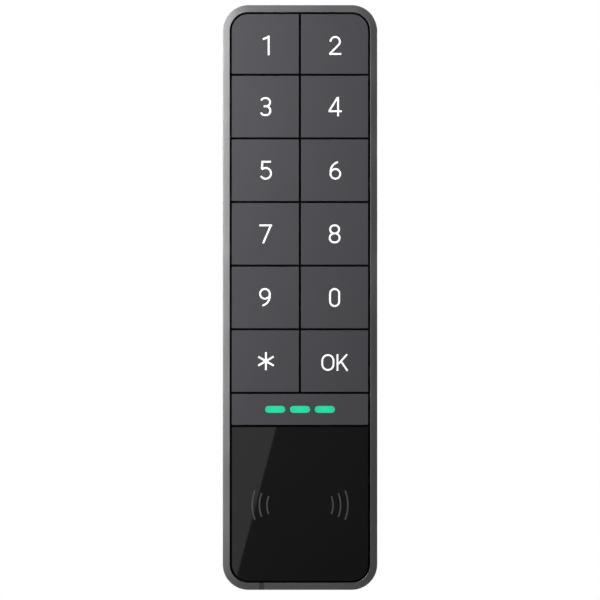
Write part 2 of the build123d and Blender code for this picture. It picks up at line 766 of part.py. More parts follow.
def make_terminal_block():
    """Row of screw terminals whose wire entries face up into the well."""
    width = TERMINAL_WAYS * TERMINAL_PITCH + 2 * TERMINAL_END
    low = BOARD_REAR - TERMINAL_T
    terminals = block(width, TERMINAL_H, low, BOARD_REAR, 0, TERMINAL_Y)
    entry_y = TERMINAL_Y + (TERMINAL_H - TERMINAL_ENTRY_D) / 2
    entry_z = BOARD_REAR - TERMINAL_ENTRY_W
    for x in terminal_spots():
        terminals -= rod(TERMINAL_SCREW_R + THREAD_GAP, low, low + TERMINAL_SCREW_T, x, TERMINAL_Y)
        terminals -= block(
            TERMINAL_ENTRY_W, TERMINAL_ENTRY_D,
            entry_z - TERMINAL_ENTRY_W / 2, entry_z + TERMINAL_ENTRY_W / 2, x, entry_y,
        )
    return terminals


def make_terminal_screws():
    """Slotted screws in the terminal block."""
    low = BOARD_REAR - TERMINAL_T + TERMINAL_SCREW_SINK
    high = BOARD_REAR - TERMINAL_T + TERMINAL_SCREW_T
    slot = block(TERMINAL_SLOT_W, 3 * TERMINAL_SCREW_R, low, low + TERMINAL_SLOT_W)
    one = rod(TERMINAL_SCREW_R, low, high) - slot
    return [Pos(x, TERMINAL_Y, 0) * one for x in terminal_spots()]


# ------------------------------------------------------------------ rear cover


def make_rear_cover():
    """Tray that closes the back, with screw posts, a wiring well and the two hinge clips."""
    cover = slab(TRAY_W, TRAY_H, TRAY_R, MOUNT_SPACE, TRAY_TOP)
    cover -= slab(CAVITY_W, CAVITY_H, CAVITY_R, TRAY_FLOOR_TOP, TRAY_TOP)
    seat = MOUNT_SPACE + COVER_SCREW_SEAT
    for x, y in COVER_BOSSES:
        cover += rod(COVER_POST_R, TRAY_FLOOR_TOP, COVER_BOSS_END, x, y)
        cover -= rod(COVER_SCREW_HEAD_R + COVER_HEAD_GAP, MOUNT_SPACE, seat, x, y)
        cover -= rod(COVER_SCREW_R + SHANK_GAP, seat, COVER_BOSS_END, x, y)
    well_outer = (WELL_W + 2 * WELL_WALL, WELL_H + 2 * WELL_WALL, WELL_CORNER_R + WELL_WALL)
    cover += slab(*well_outer, TRAY_FLOOR_TOP, BOARD_REAR - WELL_HEADROOM, 0, WELL_Y)
    cover -= slab(WELL_W, WELL_H, WELL_CORNER_R, MOUNT_SPACE, BOARD_REAR, 0, WELL_Y)
    cover -= rod(VENT_R, MOUNT_SPACE, TRAY_FLOOR_TOP, VENT_X, TOP_END - VENT_FROM_TOP)
    cover -= rod(TAMPER_PIN_R + TAMPER_PIN_GAP, MOUNT_SPACE, TRAY_FLOOR_TOP, TAMPER_X, TAMPER_Y)
    for side in (-1, 1):
        cover += hinge_clip(side * TONGUE_X)
    return cover


def hinge_clip(x):
    """Clip that snaps over a bead, with a mouth that leaves the tongue its swing."""
    bore_r = BEAD_R + BEAD_GAP
    outer_r = bore_r + CLIP_WALL
    clip = cross_rod(outer_r, CLIP_L, x, HINGE_Y, HINGE_Z)
    clip += block(CLIP_L, 2 * outer_r, HINGE_Z, MOUNT_SPACE + BEAD_GAP, x, HINGE_Y)
    clip -= cross_rod(bore_r, CLIP_L, x, HINGE_Y, HINGE_Z)
    half_tongue = math.degrees(math.asin(TONGUE_T / 2 / bore_r))
    front_edge = half_tongue + MOUTH_SPARE_DEG
    wall_edge = half_tongue + MOUTH_SPARE_DEG + SWING_DEG
    reach = 3 * outer_r

    def on_ray(angle):
        turn = math.radians(angle)
        return (-reach * math.cos(turn), -reach * math.sin(turn))

    # the mouth is a wedge about straight down, drawn in a plane across the bead
    wedge = make_face(Polyline((0, 0), on_ray(-front_edge), on_ray(wall_edge), close=True))
    across = Plane(origin=(x, HINGE_Y, HINGE_Z), x_dir=(0, 1, 0), z_dir=(1, 0, 0))
    return clip - extrude(across * wedge, CLIP_L / 2, both=True)


def make_rear_seal():
    """Flat seal between the tray's edge and the frame's ledge."""
    outer = RectangleRounded(TRAY_W - 2 * SEAL_INSET, TRAY_H - 2 * SEAL_INSET, TRAY_R - SEAL_INSET)
    inner = RectangleRounded(CAVITY_W + 2 * SEAL_INSET, CAVITY_H + 2 * SEAL_INSET, CAVITY_R + SEAL_INSET)
    return extrude(Pos(0, 0, TRAY_TOP) * (outer - inner), SEAL_T)


def make_cover_screws():
    """Screws that draw the cover to the carrier and clamp the frame's ledge between them."""
    seat = MOUNT_SPACE + COVER_SCREW_SEAT
    length = COVER_BOSS_END - seat + COVER_SCREW_BITE - THREAD_GAP
    one = screw(COVER_SCREW_R, COVER_SCREW_HEAD_R, COVER_SCREW_HEAD_T, length, COVER_SCREW_SOCKET_R)
    return [Pos(x, y, seat - COVER_SCREW_HEAD_T) * one for x, y in COVER_BOSSES]


def make_wiring_gasket():
    """Foam ring between the cover and the bracket, round the mouth of the well."""
    low = PLATE_T + GASKET_LIFT
    outer = (WELL_W + 2 * GASKET_W, WELL_H + 2 * GASKET_W, WELL_CORNER_R + GASKET_W)
    return slab(*outer, low, MOUNT_SPACE, 0, WELL_Y) - slab(
        WELL_W, WELL_H, WELL_CORNER_R, low, MOUNT_SPACE, 0, WELL_Y
    )


def make_vent_plug():
    """Pressure vent pushed into the cover from behind."""
    y = TOP_END - VENT_FROM_TOP
    plug = rod(VENT_FLANGE_R, MOUNT_SPACE - VENT_FLANGE_T, MOUNT_SPACE, VENT_X, y)
    return plug + rod(VENT_R, MOUNT_SPACE, TRAY_FLOOR_TOP, VENT_X, y)


# ------------------------------------------------------------------ tamper pin


def make_tamper_switch():
    """Switch on the back of the board with its short actuator."""
    low = BOARD_REAR - TAMPER_SWITCH_T
    switch = slab(
        TAMPER_SWITCH_W, TAMPER_SWITCH_W, TAMPER_SWITCH_CORNER_R, low, BOARD_REAR, TAMPER_X, TAMPER_Y
    )
    return switch + rod(TAMPER_NUB_R, low - TAMPER_NUB_T, low, TAMPER_X, TAMPER_Y)


def make_tamper_plunger():
    """Pin from the wall plane up to the switch, with the flange that its spring pushes."""
    top = BOARD_REAR - TAMPER_SWITCH_T - TAMPER_NUB_T
    flange_top = TAMPER_FLANGE_Z + TAMPER_FLANGE_T
    pin = rod(TAMPER_PIN_R, 0, TAMPER_FLANGE_Z, TAMPER_X, TAMPER_Y)
    pin = chamfer(pin.faces().sort_by(Axis.Z)[0].edges(), TAMPER_PIN_CHAMFER)
    pin += rod(TAMPER_FLANGE_R, TAMPER_FLANGE_Z, flange_top, TAMPER_X, TAMPER_Y)
    return pin + rod(TAMPER_POST_R, flange_top, top, TAMPER_X, TAMPER_Y)


def make_tamper_spring():
    """Short coil between the flange and the switch."""
    end_room = SPRING_WIRE_R + SPRING_SEAT_GAP
    low = TAMPER_FLANGE_Z + TAMPER_FLANGE_T + end_room
    high = BOARD_REAR - TAMPER_SWITCH_T - end_room
    path = Helix((high - low) / SPRING_TURNS, high - low, SPRING_R)
    section = Plane(origin=path @ 0, z_dir=path % 0) * Circle(SPRING_WIRE_R)
    return Pos(TAMPER_X, TAMPER_Y, low) * sweep(section, path)


# ------------------------------------------------------------------ wall bracket


def make_wall_bracket():
    """Plate inside the frame's rear edge, with screw holes, two beads on tongues and the lock lug."""
    width = INNER_W - 2 * PLATE_GAP
    height = PLATE_TOP - PLATE_BOTTOM
    middle = (PLATE_TOP + PLATE_BOTTOM) / 2
    bracket = slab(width, height, PLATE_CORNER_R, 0, PLATE_T, 0, middle)
    bracket = chamfer(bracket.faces().sort_by(Axis.Z)[0].edges(), PLATE_CHAMFER)
    rib_x = width / 2 - PLATE_RIB_INSET - PLATE_RIB_W / 2
    for side in (-1, 1):
        pad_y = side * (PAD_H + PAD_GAP) / 2
        bracket -= slab(width - 2 * PAD_INSET, PAD_H, PAD_CORNER_R, 0, PAD_DEPTH, 0, pad_y)
        bracket += slab(
            PLATE_RIB_W, height - 3 * PLATE_CORNER_R, PLATE_RIB_CORNER_R,
            PLATE_T, PLATE_T + PLATE_RIB_H, side * rib_x, middle,
        )
        bracket += hinge_tongue(side * TONGUE_X)
    bracket += block(LOCK_LUG_W, LOCK_LUG_H, 0, LOCK_LUG_T, 0, PLATE_BOTTOM + LOCK_LUG_H / 2)
    bracket -= upright_rod(LOCK_INSERT_R, PLATE_BOTTOM, PLATE_BOTTOM + LOCK_INSERT_L, 0, LOCK_Z)
    for x, y in WALL_HOLES:
        bracket -= rod(WALL_HOLE_R, 0, PLATE_T, x, y)
    bracket -= slab(CABLE_OPENING_W, CABLE_OPENING_H, CABLE_CORNER_R, 0, PLATE_T, 0, CABLE_Y)
    bracket -= rod(TAMPER_PLATE_HOLE_R, 0, PLATE_T, TAMPER_X, TAMPER_Y)
    return bracket


def hinge_tongue(x):
    """Tongue that steps forward from the plate's top edge and ends in a bead."""
    low = HINGE_Z - TONGUE_T / 2
    high = HINGE_Z + TONGUE_T / 2
    foot_y = PLATE_TOP - TONGUE_FOOT / 2
    tongue = block(TONGUE_W, TONGUE_FOOT, 0, high, x, foot_y)
    start = PLATE_TOP - TONGUE_FOOT
    tongue += block(TONGUE_W, HINGE_Y - start, low, high, x, (HINGE_Y + start) / 2)
    return tongue + cross_rod(BEAD_R, TONGUE_W, x, HINGE_Y, HINGE_Z)


def make_lock_screw_insert():
    """Brass thread moulded into the lug."""
    insert = upright_rod(LOCK_INSERT_R, PLATE_BOTTOM, PLATE_BOTTOM + LOCK_INSERT_L, 0, LOCK_Z)
    return insert - upright_rod(
        LOCK_SCREW_R + THREAD_GAP, PLATE_BOTTOM, PLATE_BOTTOM + LOCK_INSERT_L, 0, LOCK_Z
    )


def make_lock_screw():
    """Socket screw whose head lies in the frame's bottom notch and whose tip ends at the foot of its bore."""
    head_y = BOTTOM_END + LOCK_HEAD_SINK
    length = PLATE_BOTTOM + LOCK_SCREW_BITE - head_y - LOCK_HEAD_T
    one = screw(LOCK_SCREW_R, LOCK_HEAD_R, LOCK_HEAD_T, length, LOCK_SOCKET_R)
    return Pos(0, head_y, LOCK_Z) * Rot(-90, 0, 0) * one


# ------------------------------------------------------------------ assembly


def make_all():
    """Every piece by its node name: one part, or a list of separate solids."""
    ring = frame_ring()
    pieces = {
        "wall_bracket": make_wall_bracket(),
        "lock_screw_insert": make_lock_screw_insert(),
        "lock_screw": make_lock_screw(),
        "outer_frame": ring - break_region(),
        "antenna_break": ring & break_region(),
        "rear_cover": make_rear_cover(),
        "rear_seal": make_rear_seal(),
        "cover_screws": make_cover_screws(),
        "wiring_gasket": make_wiring_gasket(),
        "vent_plug": make_vent_plug(),
        "front_carrier": make_front_carrier(),
        "status_bar": make_status_bar(),
        "status_light_guide": make_status_light_guide(),
        "reader_window": face_plate(-FACE_RIGHT, FACE_RIGHT, -FACE_TOP, WINDOW_TOP, WINDOW_REAR),
        "window_adhesive": make_window_adhesive(),
        "antenna_board": make_antenna_board(),
        "antenna_coil": make_antenna_coil(),
        "ferrite_sheet": make_ferrite_sheet(),
        "antenna_header": make_antenna_header(),
        "keypad_membrane": make_keypad_membrane(),
        "snap_domes": make_snap_domes(),
        "backlight_guide": make_backlight_guide(),
        "main_board": make_main_board(),
        "board_screws": make_board_screws(),
        "key_leds": make_leds(led_spots()),
        "status_leds": make_leds(PILLS),
        "controller_chip": from_top(CONTROLLER),
        "crystal": from_top(CRYSTAL),
        "relay": from_top(RELAY),
        "reader_chip": soldered(READER_CHIP, 0, BOTTOM_END + READER_CHIP_FROM_BOTTOM),
        "board_passives": make_board_passives(),
        "power_capacitor": make_power_capacitor(),
        "buzzer": make_buzzer(),
        "terminal_block": make_terminal_block(),
        "terminal_screws": make_terminal_screws(),
        "tamper_switch": make_tamper_switch(),
        "tamper_plunger": make_tamper_plunger(),
        "tamper_spring": make_tamper_spring(),
    }
    for row, names in enumerate(KEY_ROWS):
        for column, name in enumerate(names):
            pieces["key_" + name] = make_key(row, column)
    return pieces


def write_all(pieces):
    """Stand every piece up on the wall and write it to its own file."""
    os.makedirs("parts", exist_ok=True)
    standing = Plane(origin=(0, 0, 0), x_dir=(1, 0, 0), z_dir=(0, -1, 0))
    for name, piece in pieces.items():
        solids = piece if isinstance(piece, list) else [piece]
        placed = [solid for part in solids for solid in (standing * part).solids()]
        export_step(Compound(placed) if len(placed) > 1 else placed[0], "parts/" + name + ".step")


write_all(make_all())
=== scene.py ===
"""Looks of a slim wall reader: a metal frame round twelve keys, a lit status bar and a dark card window."""

import logging
import math
from contextlib import contextmanager
from dataclasses import dataclass, field
from enum import Enum
from typing import Any, Callable, Iterator, Optional, Union

import bmesh
import bpy
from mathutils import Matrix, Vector


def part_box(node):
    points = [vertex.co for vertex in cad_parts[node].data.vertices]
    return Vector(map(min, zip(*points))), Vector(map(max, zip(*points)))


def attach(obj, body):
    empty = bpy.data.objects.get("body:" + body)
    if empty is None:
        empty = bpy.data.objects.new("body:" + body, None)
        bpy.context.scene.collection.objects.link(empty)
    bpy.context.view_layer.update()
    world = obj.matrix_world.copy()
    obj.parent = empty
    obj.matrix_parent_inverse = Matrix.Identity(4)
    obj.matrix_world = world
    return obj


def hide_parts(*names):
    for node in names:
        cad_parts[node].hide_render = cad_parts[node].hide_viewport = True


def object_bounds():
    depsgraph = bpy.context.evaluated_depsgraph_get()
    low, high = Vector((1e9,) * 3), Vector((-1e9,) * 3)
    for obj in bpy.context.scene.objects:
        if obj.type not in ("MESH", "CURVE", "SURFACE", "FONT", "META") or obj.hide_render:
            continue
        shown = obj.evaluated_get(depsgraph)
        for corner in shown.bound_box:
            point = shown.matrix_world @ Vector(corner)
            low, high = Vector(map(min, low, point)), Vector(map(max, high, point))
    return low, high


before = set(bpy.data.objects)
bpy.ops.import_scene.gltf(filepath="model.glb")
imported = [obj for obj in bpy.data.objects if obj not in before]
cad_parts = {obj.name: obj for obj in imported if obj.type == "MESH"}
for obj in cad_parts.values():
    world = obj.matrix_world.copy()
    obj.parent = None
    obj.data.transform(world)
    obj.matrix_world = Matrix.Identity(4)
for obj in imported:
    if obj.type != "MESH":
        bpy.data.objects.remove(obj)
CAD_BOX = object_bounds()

LOG = logging.getLogger("wall_reader")
MM = 0.001
MERGE = 0.0000008
NEAR = 0.00001
SMOOTH_ANGLE = math.radians(38)

Rgb = tuple[float, float, float]
Point = tuple[float, float, float]
Piece = bpy.types.Object
Material = bpy.types.Material
Tree = bpy.types.NodeTree
Node = bpy.types.Node
Socket = bpy.types.NodeSocket


# ---------------------------------------------------------------- places and choices


class Pick(Enum):
    """What a selection is made of."""

    CORNER = "VERT"
    EDGE = "EDGE"
    FACE = "FACE"


class Combine(Enum):
    """How a tool solid acts on a piece."""

    ADD = "UNION"
    CUT = "DIFFERENCE"
    KEEP = "INTERSECT"


class Corner(Enum):
    """A corner of an upright outline, as its side in x and its side up."""

    TOP_LEFT = (-1, 1)
    TOP_RIGHT = (1, 1)
    BOTTOM_LEFT = (-1, -1)
    BOTTOM_RIGHT = (1, -1)


@dataclass(frozen=True)
class Extent:
    """The room that something fills: x to the right, up the wall, and out of the wall, in metres."""

    left: float
    right: float
    bottom: float
    top: float
    rear: float = 0.0
    front: float = 0.0

    @classmethod
    def of(cls, node: str) -> "Extent":
        """Returns the room of a CAD node."""
        low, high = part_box(node)
        return cls(low.x, high.x, low.z, high.z, -high.y, -low.y)

    @classmethod
    def round_point(cls, x: float, up: float, width: float, height: float) -> "Extent":
        """Returns a flat room of a width and a height round a point."""
        return cls(x - width / 2, x + width / 2, up - height / 2, up + height / 2)

    @property
    def width(self) -> float:
        """Size in x."""
        return self.right - self.left

    @property
    def height(self) -> float:
        """Size up the wall."""
        return self.top - self.bottom

    @property
    def mid_x(self) -> float:
        """Middle in x."""
        return (self.left + self.right) / 2

    @property
    def mid_up(self) -> float:
        """Middle up the wall."""
        return (self.bottom + self.top) / 2

    def corner(self, corner: Corner) -> tuple[float, float]:
        """Returns a corner's place in x and up the wall."""
        side_x, side_up = corner.value
        return self.mid_x + side_x * self.width / 2, self.mid_up + side_up * self.height / 2


# ---------------------------------------------------------------- modelling by hand


def deselect_all() -> None:
    """Leaves nothing selected, so that an operator acts on its own piece alone."""
    bpy.ops.object.select_all(action="DESELECT")


def take(piece: Piece) -> None:
    """Selects one piece alone and makes it the active one."""
    deselect_all()
    piece.select_set(True)
    bpy.context.view_layer.objects.active = piece


@contextmanager
def editing(piece: Piece) -> Iterator[None]:
    """Opens one piece in edit mode with nothing selected, and closes it at the end.

    Args:
        piece: The mesh object to open.
    """
    take(piece)
    bpy.ops.object.mode_set(mode="EDIT")
    bpy.ops.mesh.select_all(action="DESELECT")
    yield
    bpy.ops.object.mode_set(mode="OBJECT")


def pick(piece: Piece, kind: Pick, test: Callable[[Any], bool]) -> None:
    """Selects the parts of the open piece that pass a test, and nothing else.

    Args:
        piece: The mesh object in edit mode.
        kind: Whether corners, edges or faces are chosen.
        test: Takes one part and says whether it is chosen.
    """
    bpy.ops.mesh.select_mode(type=kind.value)
    bpy.ops.mesh.select_all(action="DESELECT")
    mesh = bmesh.from_edit_mesh(piece.data)
    parts = {Pick.CORNER: mesh.verts, Pick.EDGE: mesh.edges, Pick.FACE: mesh.faces}[kind]
    for part in [part for part in parts if test(part)]:
        part.select_set(True)
    mesh.select_flush_mode()
    bmesh.update_edit_mesh(piece.data)


def pick_all(kind: Pick = Pick.FACE) -> None:
    """Selects the whole of the open piece."""
    bpy.ops.mesh.select_mode(type=kind.value)
    bpy.ops.mesh.select_all(action="SELECT")


def pull(x: float = 0.0, y: float = 0.0, z: float = 0.0) -> None:
    """Extrudes what is selected by a step."""
    bpy.ops.mesh.extrude_region_move(TRANSFORM_OT_translate={"value": (x, y, z)})


def merge_and_face_out() -> None:
    """Merges doubled corners of the open piece and turns its faces outward."""
    pick_all()
    bpy.ops.mesh.remove_doubles(threshold=MERGE)
    bpy.ops.mesh.normals_make_consistent(inside=False)


def apply_modifier(piece: Piece, kind: str, **settings: Any) -> None:
    """Puts a modifier on a piece and applies it.

    Args:
        piece: The mesh object to change.
        kind: The modifier's type.
        **settings: The modifier's own properties.
    """
    take(piece)
    modifier = piece.modifiers.new("work", kind)
    for name, value in settings.items():
        setattr(modifier, name, value)
    bpy.ops.object.modifier_apply(modifier=modifier.name)


def combine(piece: Piece, tool: Piece, how: Combine, keep_tool: bool = False) -> None:
    """Adds, cuts or keeps a tool solid's share of a piece.

    Args:
        piece: The mesh object to change.
        tool: The solid that acts on it.
        how: The way it acts.
        keep_tool: Whether the tool stays for another use.
    """
    apply_modifier(piece, "BOOLEAN", operation=how.value, solver="EXACT", object=tool)
    if not keep_tool:
        discard(tool)


def discard(piece: Piece) -> None:
    """Removes an object and its mesh."""
    mesh = piece.data
    bpy.data.objects.remove(piece)
    bpy.data.meshes.remove(mesh)


def copy_of(piece: Piece, name: str) -> Piece:
    """Copies a piece under a new name, with a mesh of its own."""
    twin = piece.copy()
    twin.data = piece.data.copy()
    twin.name = twin.data.name = name
    bpy.context.collection.objects.link(twin)
    return twin


def shift(piece: Piece, x: float, y: float, z: float = 0.0) -> None:
    """Moves a piece's mesh by a step and leaves its object at the origin."""
    piece.location = (x, y, z)
    take(piece)
    bpy.ops.object.transform_apply(location=True, rotation=False, scale=False)


def stand_up(piece: Piece) -> None:
    """Turns a piece made lying on its back upright, so that its front faces -Y."""
    piece.rotation_euler = (math.pi / 2, 0.0, 0.0)
    take(piece)
    bpy.ops.object.transform_apply(location=False, rotation=True, scale=False)


def settle(piece: Piece) -> None:
    """Merges doubles, faces a finished piece outward and gives it smooth curves beside flat faces."""
    with editing(piece):
        merge_and_face_out()
    take(piece)
    bpy.ops.object.shade_smooth_by_angle(angle=SMOOTH_ANGLE)
    apply_modifier(piece, "WEIGHTED_NORMAL", keep_sharp=True, weight=100)


def round_steps(radius: float) -> int:
    """Returns how many steps a quarter turn of a radius gets."""
    return max(3, min(20, round(radius / MM * 3)))


def lay_sheet(name: str, area: Extent, level: float, radii: dict[Corner, float]) -> Piece:
    """Lays a flat sheet on its back with round corners.

    Args:
        name: The new piece's name.
        area: Its outline.
        level: Its height over the wall.
        radii: The radius of each corner that is round.

    Returns:
        The sheet, a single face at the origin.
    """
    deselect_all()
    bpy.ops.mesh.primitive_plane_add(size=1, location=(area.mid_x, area.mid_up, level))
    piece = bpy.context.object
    piece.name = piece.data.name = name
    piece.scale = (area.width, area.height, 1.0)
    bpy.ops.object.transform_apply(location=True, rotation=False, scale=True)
    with editing(piece):
        for corner, radius in radii.items():
            place = Vector((*area.corner(corner), level))
            pick(piece, Pick.CORNER, lambda vert: (vert.co - place).length < NEAR)
            bpy.ops.mesh.bevel(offset=radius, segments=round_steps(radius), affect="VERTICES", profile=0.5)
    return piece


def all_round(radius: float) -> dict[Corner, float]:
    """Returns one radius for all four corners."""
    return {corner: radius for corner in Corner}


def lay_plate(name: str, area: Extent, low: float, high: float, radii: dict[Corner, float]) -> Piece:
    """Makes a closed plate with round upright corners between two levels.

    Args:
        name: The new piece's name.
        area: Its outline.
        low: Its lower level.
        high: Its upper level.
        radii: The radius of each corner that is round.

    Returns:
        The plate, lying on its back.
    """
    piece = lay_sheet(name, area, low, radii)
    with editing(piece):
        pick_all()
        pull(z=high - low)
        merge_and_face_out()
    return piece


def soften_rim(piece: Piece, level: float, size: float, steps: int = 3) -> None:
    """Rounds every sharp edge of a lying piece that lies at one level.

    Args:
        piece: The piece to change.
        level: The height of those edges.
        size: The size of the rounding.
        steps: How many strips it has.
    """
    with editing(piece):
        pick(
            piece,
            Pick.EDGE,
            lambda edge: all(abs(vert.co.z - level) < NEAR for vert in edge.verts)
            and len(edge.link_faces) == 2
            and edge.calc_face_angle() > 0.5,
        )
        bpy.ops.mesh.bevel(offset=size, segments=steps, affect="EDGES", profile=0.5)


def hand_over(
    piece: Piece,
    body: str,
    material: Material,
    replaced: tuple[str, ...] = (),
) -> None:
    """Dresses a finished piece and ties it to the frame.

    Args:
        piece: The finished piece.
        body: The CAD body that it moves with.
        material: Its finish.
        replaced: The CAD nodes that it stands for.
    """
    piece.data.materials.clear()
    piece.data.materials.append(material)
    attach(piece, body)
    if replaced:
        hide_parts(*replaced)
    LOG.info("%s: %d faces on %s", piece.name, len(piece.data.polygons), body)


# ---------------------------------------------------------------- shader boards and shared effects

Value = Union[float, tuple, Socket]
DUST_COLOUR = (0.42, 0.41, 0.39, 1.0)


class Board:
    """A node tree with short ways to place nodes and join them."""

    def __init__(self, tree: Tree) -> None:
        """Takes the tree that is wired."""
        self.tree = tree

    def place(self, kind: str, sockets: Optional[dict[Any, Value]] = None, **settings: Any) -> Node:
        """Places a node.

        Args:
            kind: The node's type.
            sockets: A value or another node's output for each named or numbered input.
            **settings: The node's own properties.

        Returns:
            The new node.
        """
        node = self.tree.nodes.new(kind)
        for name, value in settings.items():
            setattr(node, name, value)
        for key, value in (sockets or {}).items():
            if isinstance(value, Socket):
                self.tree.links.new(value, node.inputs[key])
            else:
                node.inputs[key].default_value = value
        return node

    def maths(self, operation: str, first: Value, second: Value = 0.0, clamp: bool = False) -> Socket:
        """Returns the result of a sum on two values."""
        node = self.place("ShaderNodeMath", {0: first, 1: second}, operation=operation, use_clamp=clamp)
        return node.outputs[0]

    def remap(self, value: Value, low: float, high: float, new_low: float, new_high: float) -> Socket:
        """Returns a value carried from one range to another, held within it."""
        sockets = {0: value, 1: low, 2: high, 3: new_low, 4: new_high}
        return self.place("ShaderNodeMapRange", sockets, clamp=True).outputs[0]

    def blend(self, share: Value, first: Value, second: Value) -> Socket:
        """Returns a mix of two colours."""
        sockets = {0: share, 6: first, 7: second}
        return self.place("ShaderNodeMix", sockets, data_type="RGBA", clamp_result=True).outputs[2]

    def stretch(self, point: Value, scale: Point) -> Socket:
        """Returns a point with each of its axes scaled."""
        return self.place("ShaderNodeMapping", {0: point, 3: scale}, vector_type="POINT").outputs[0]

    def noise(self, point: Value, scale: Value, detail: float = 2.0, rough: float = 0.5) -> Socket:
        """Returns a cloudy value between nought and one."""
        sockets = {"Vector": point, "Scale": scale, "Detail": detail, "Roughness": rough}
        return self.place("ShaderNodeTexNoise", sockets).outputs[0]

    def cells(self, point: Value, scale: Value, feature: str = "F1") -> Socket:
        """Returns the distance within a pattern of cells."""
        sockets = {"Vector": point, "Scale": scale}
        return self.place("ShaderNodeTexVoronoi", sockets, feature=feature).outputs[0]

    def object_point(self) -> Socket:
        """Returns the place on the piece, in the object's own frame."""
        return self.place("ShaderNodeTexCoord").outputs["Object"]

    def bump(self, height: Value, strength: float, distance: float) -> Socket:
        """Returns a normal that a height disturbs."""
        sockets = {"Height": height, "Strength": strength, "Distance": distance}
        return self.place("ShaderNodeBump", sockets).outputs[0]


@dataclass(frozen=True)
class Effect:
    """A shader group that several finishes share."""

    name: str = ""
    takes: tuple[tuple[str, str, float], ...] = ()
    gives: tuple[str, ...] = ("Mask",)

    def tree(self) -> Tree:
        """Returns the group, which is built on first use.

        Returns:
            The shared node tree.
        """
        found = bpy.data.node_groups.get(self.name)
        if found:
            return found
        tree = bpy.data.node_groups.new(self.name, "ShaderNodeTree")
        tree.interface.new_socket("Point", in_out="INPUT", socket_type="NodeSocketVector")
        for name, kind, value in self.takes:
            tree.interface.new_socket(name, in_out="INPUT", socket_type=kind).default_value = value
        for name in self.gives:
            tree.interface.new_socket(name, in_out="OUTPUT", socket_type="NodeSocketFloat")
        board = Board(tree)
        source = board.place("NodeGroupInput")
        results = self.wire(board, source)
        board.place("NodeGroupOutput", dict(zip(self.gives, results)))
        return tree

    def wire(self, board: Board, source: Node) -> list[Socket]:
        """Wires the group's inside and returns its outputs in order; each effect has its own."""
        raise NotImplementedError

    def on(self, board: Board, point: Value, **values: Value) -> Node:
        """Places the group in a finish.

        Args:
            board: The finish's board.
            point: The place on the piece.
            **values: A value for each named input.

        Returns:
            The placed group node.
        """
        node = board.place("ShaderNodeGroup", node_tree=self.tree())
        for name, value in {"Point": point, **values}.items():
            if isinstance(value, Socket):
                board.tree.links.new(value, node.inputs[name])
            else:
                node.inputs[name].default_value = value
        return node

    def mask(self, board: Board, point: Value, share: float, **values: Value) -> Socket:
        """Places the group and returns its mask held down to a share."""
        return board.maths("MULTIPLY", self.on(board, point, **values).outputs["Mask"], share)


@dataclass(frozen=True)
class Grain(Effect):
    """Fine pebbled grain of a moulded or blasted skin, with a slow change of tone."""

    name: str = "pebbled_grain"
    takes: tuple = (("Count", "NodeSocketFloat", 5000.0), ("Slow Count", "NodeSocketFloat", 40.0))
    gives: tuple = ("Height", "Tone")

    def wire(self, board: Board, source: Node) -> list[Socket]:
        """Sums a cloudy and a cellular height, and adds a slow tone."""
        point, count, slow = source.outputs["Point"], source.outputs["Count"], source.outputs["Slow Count"]
        cloud = board.noise(point, count, 2.0, 0.6)
        pebble = board.cells(point, board.maths("MULTIPLY", count, 0.6), "SMOOTH_F1")
        height = board.maths("ADD", board.maths("MULTIPLY", cloud, 0.6), board.maths("MULTIPLY", pebble, 0.4))
        return [height, board.noise(point, slow, 3.0, 0.55)]


@dataclass(frozen=True)
class Smudges(Effect):
    """Faint marks of handling that change the sheen in soft patches."""

    name: str = "handling_smudges"
    takes: tuple = (("Count", "NodeSocketFloat", 60.0),)

    def wire(self, board: Board, source: Node) -> list[Socket]:
        """Multiplies slow patches by a finer streaky cloud."""
        point, count = source.outputs["Point"], source.outputs["Count"]
        patch = board.remap(board.noise(point, count, 2.0, 0.5), 0.45, 0.7, 0.0, 1.0)
        fine = board.maths("MULTIPLY", count, 14.0)
        streak = board.noise(board.stretch(point, (1.0, 1.0, 0.35)), fine, 3.0, 0.7)
        return [board.maths("MULTIPLY", patch, streak, clamp=True)]


@dataclass(frozen=True)
class EdgeWearAndHighlight(Effect):
    """Mask of outer edges, broken up as rubbing breaks them, for worn edges and for the frame's painted edge
    highlight.
    """

    name: str = "edge_wear_and_highlight"
    takes: tuple = (("Reach", "NodeSocketFloat", 0.0003), ("Count", "NodeSocketFloat", 900.0))

    # an edge mask: real wear on most finishes, a painted highlight on the frame metal
    def wire(self, board: Board, source: Node) -> list[Socket]:
        """Compares the rounded normal with the true one and breaks the result up with a cloud."""
        rounded = board.place("ShaderNodeBevel", {"Radius": source.outputs["Reach"]}, samples=4).outputs[0]
        true = board.place("ShaderNodeNewGeometry").outputs["Normal"]
        match = board.place("ShaderNodeVectorMath", {0: rounded, 1: true}, operation="DOT_PRODUCT")
        edge = board.remap(match.outputs["Value"], 0.995, 0.86, 0.0, 1.0)
        cloud = board.noise(source.outputs["Point"], source.outputs["Count"], 3.0)
        ragged = board.remap(cloud, 0.35, 0.65, 0.25, 1.0)
        return [board.maths("MULTIPLY", edge, ragged, clamp=True)]


@dataclass(frozen=True)
class Dust(Effect):
    """Fine dust that lies where a surface faces up."""

    name: str = "settled_dust"
    takes: tuple = (("Count", "NodeSocketFloat", 1500.0),)

    def wire(self, board: Board, source: Node) -> list[Socket]:
        """Multiplies how far the surface faces up by specks."""
        normal = board.place("ShaderNodeNewGeometry").outputs["Normal"]
        up = board.place("ShaderNodeSeparateXYZ", {0: normal}).outputs["Z"]
        facing = board.remap(up, 0.35, 1.0, 0.0, 1.0)
        cloud = board.noise(source.outputs["Point"], source.outputs["Count"], 4.0)
        specks = board.remap(cloud, 0.4, 0.7, 0.1, 1.0)
        return [board.maths("MULTIPLY", facing, specks, clamp=True)]


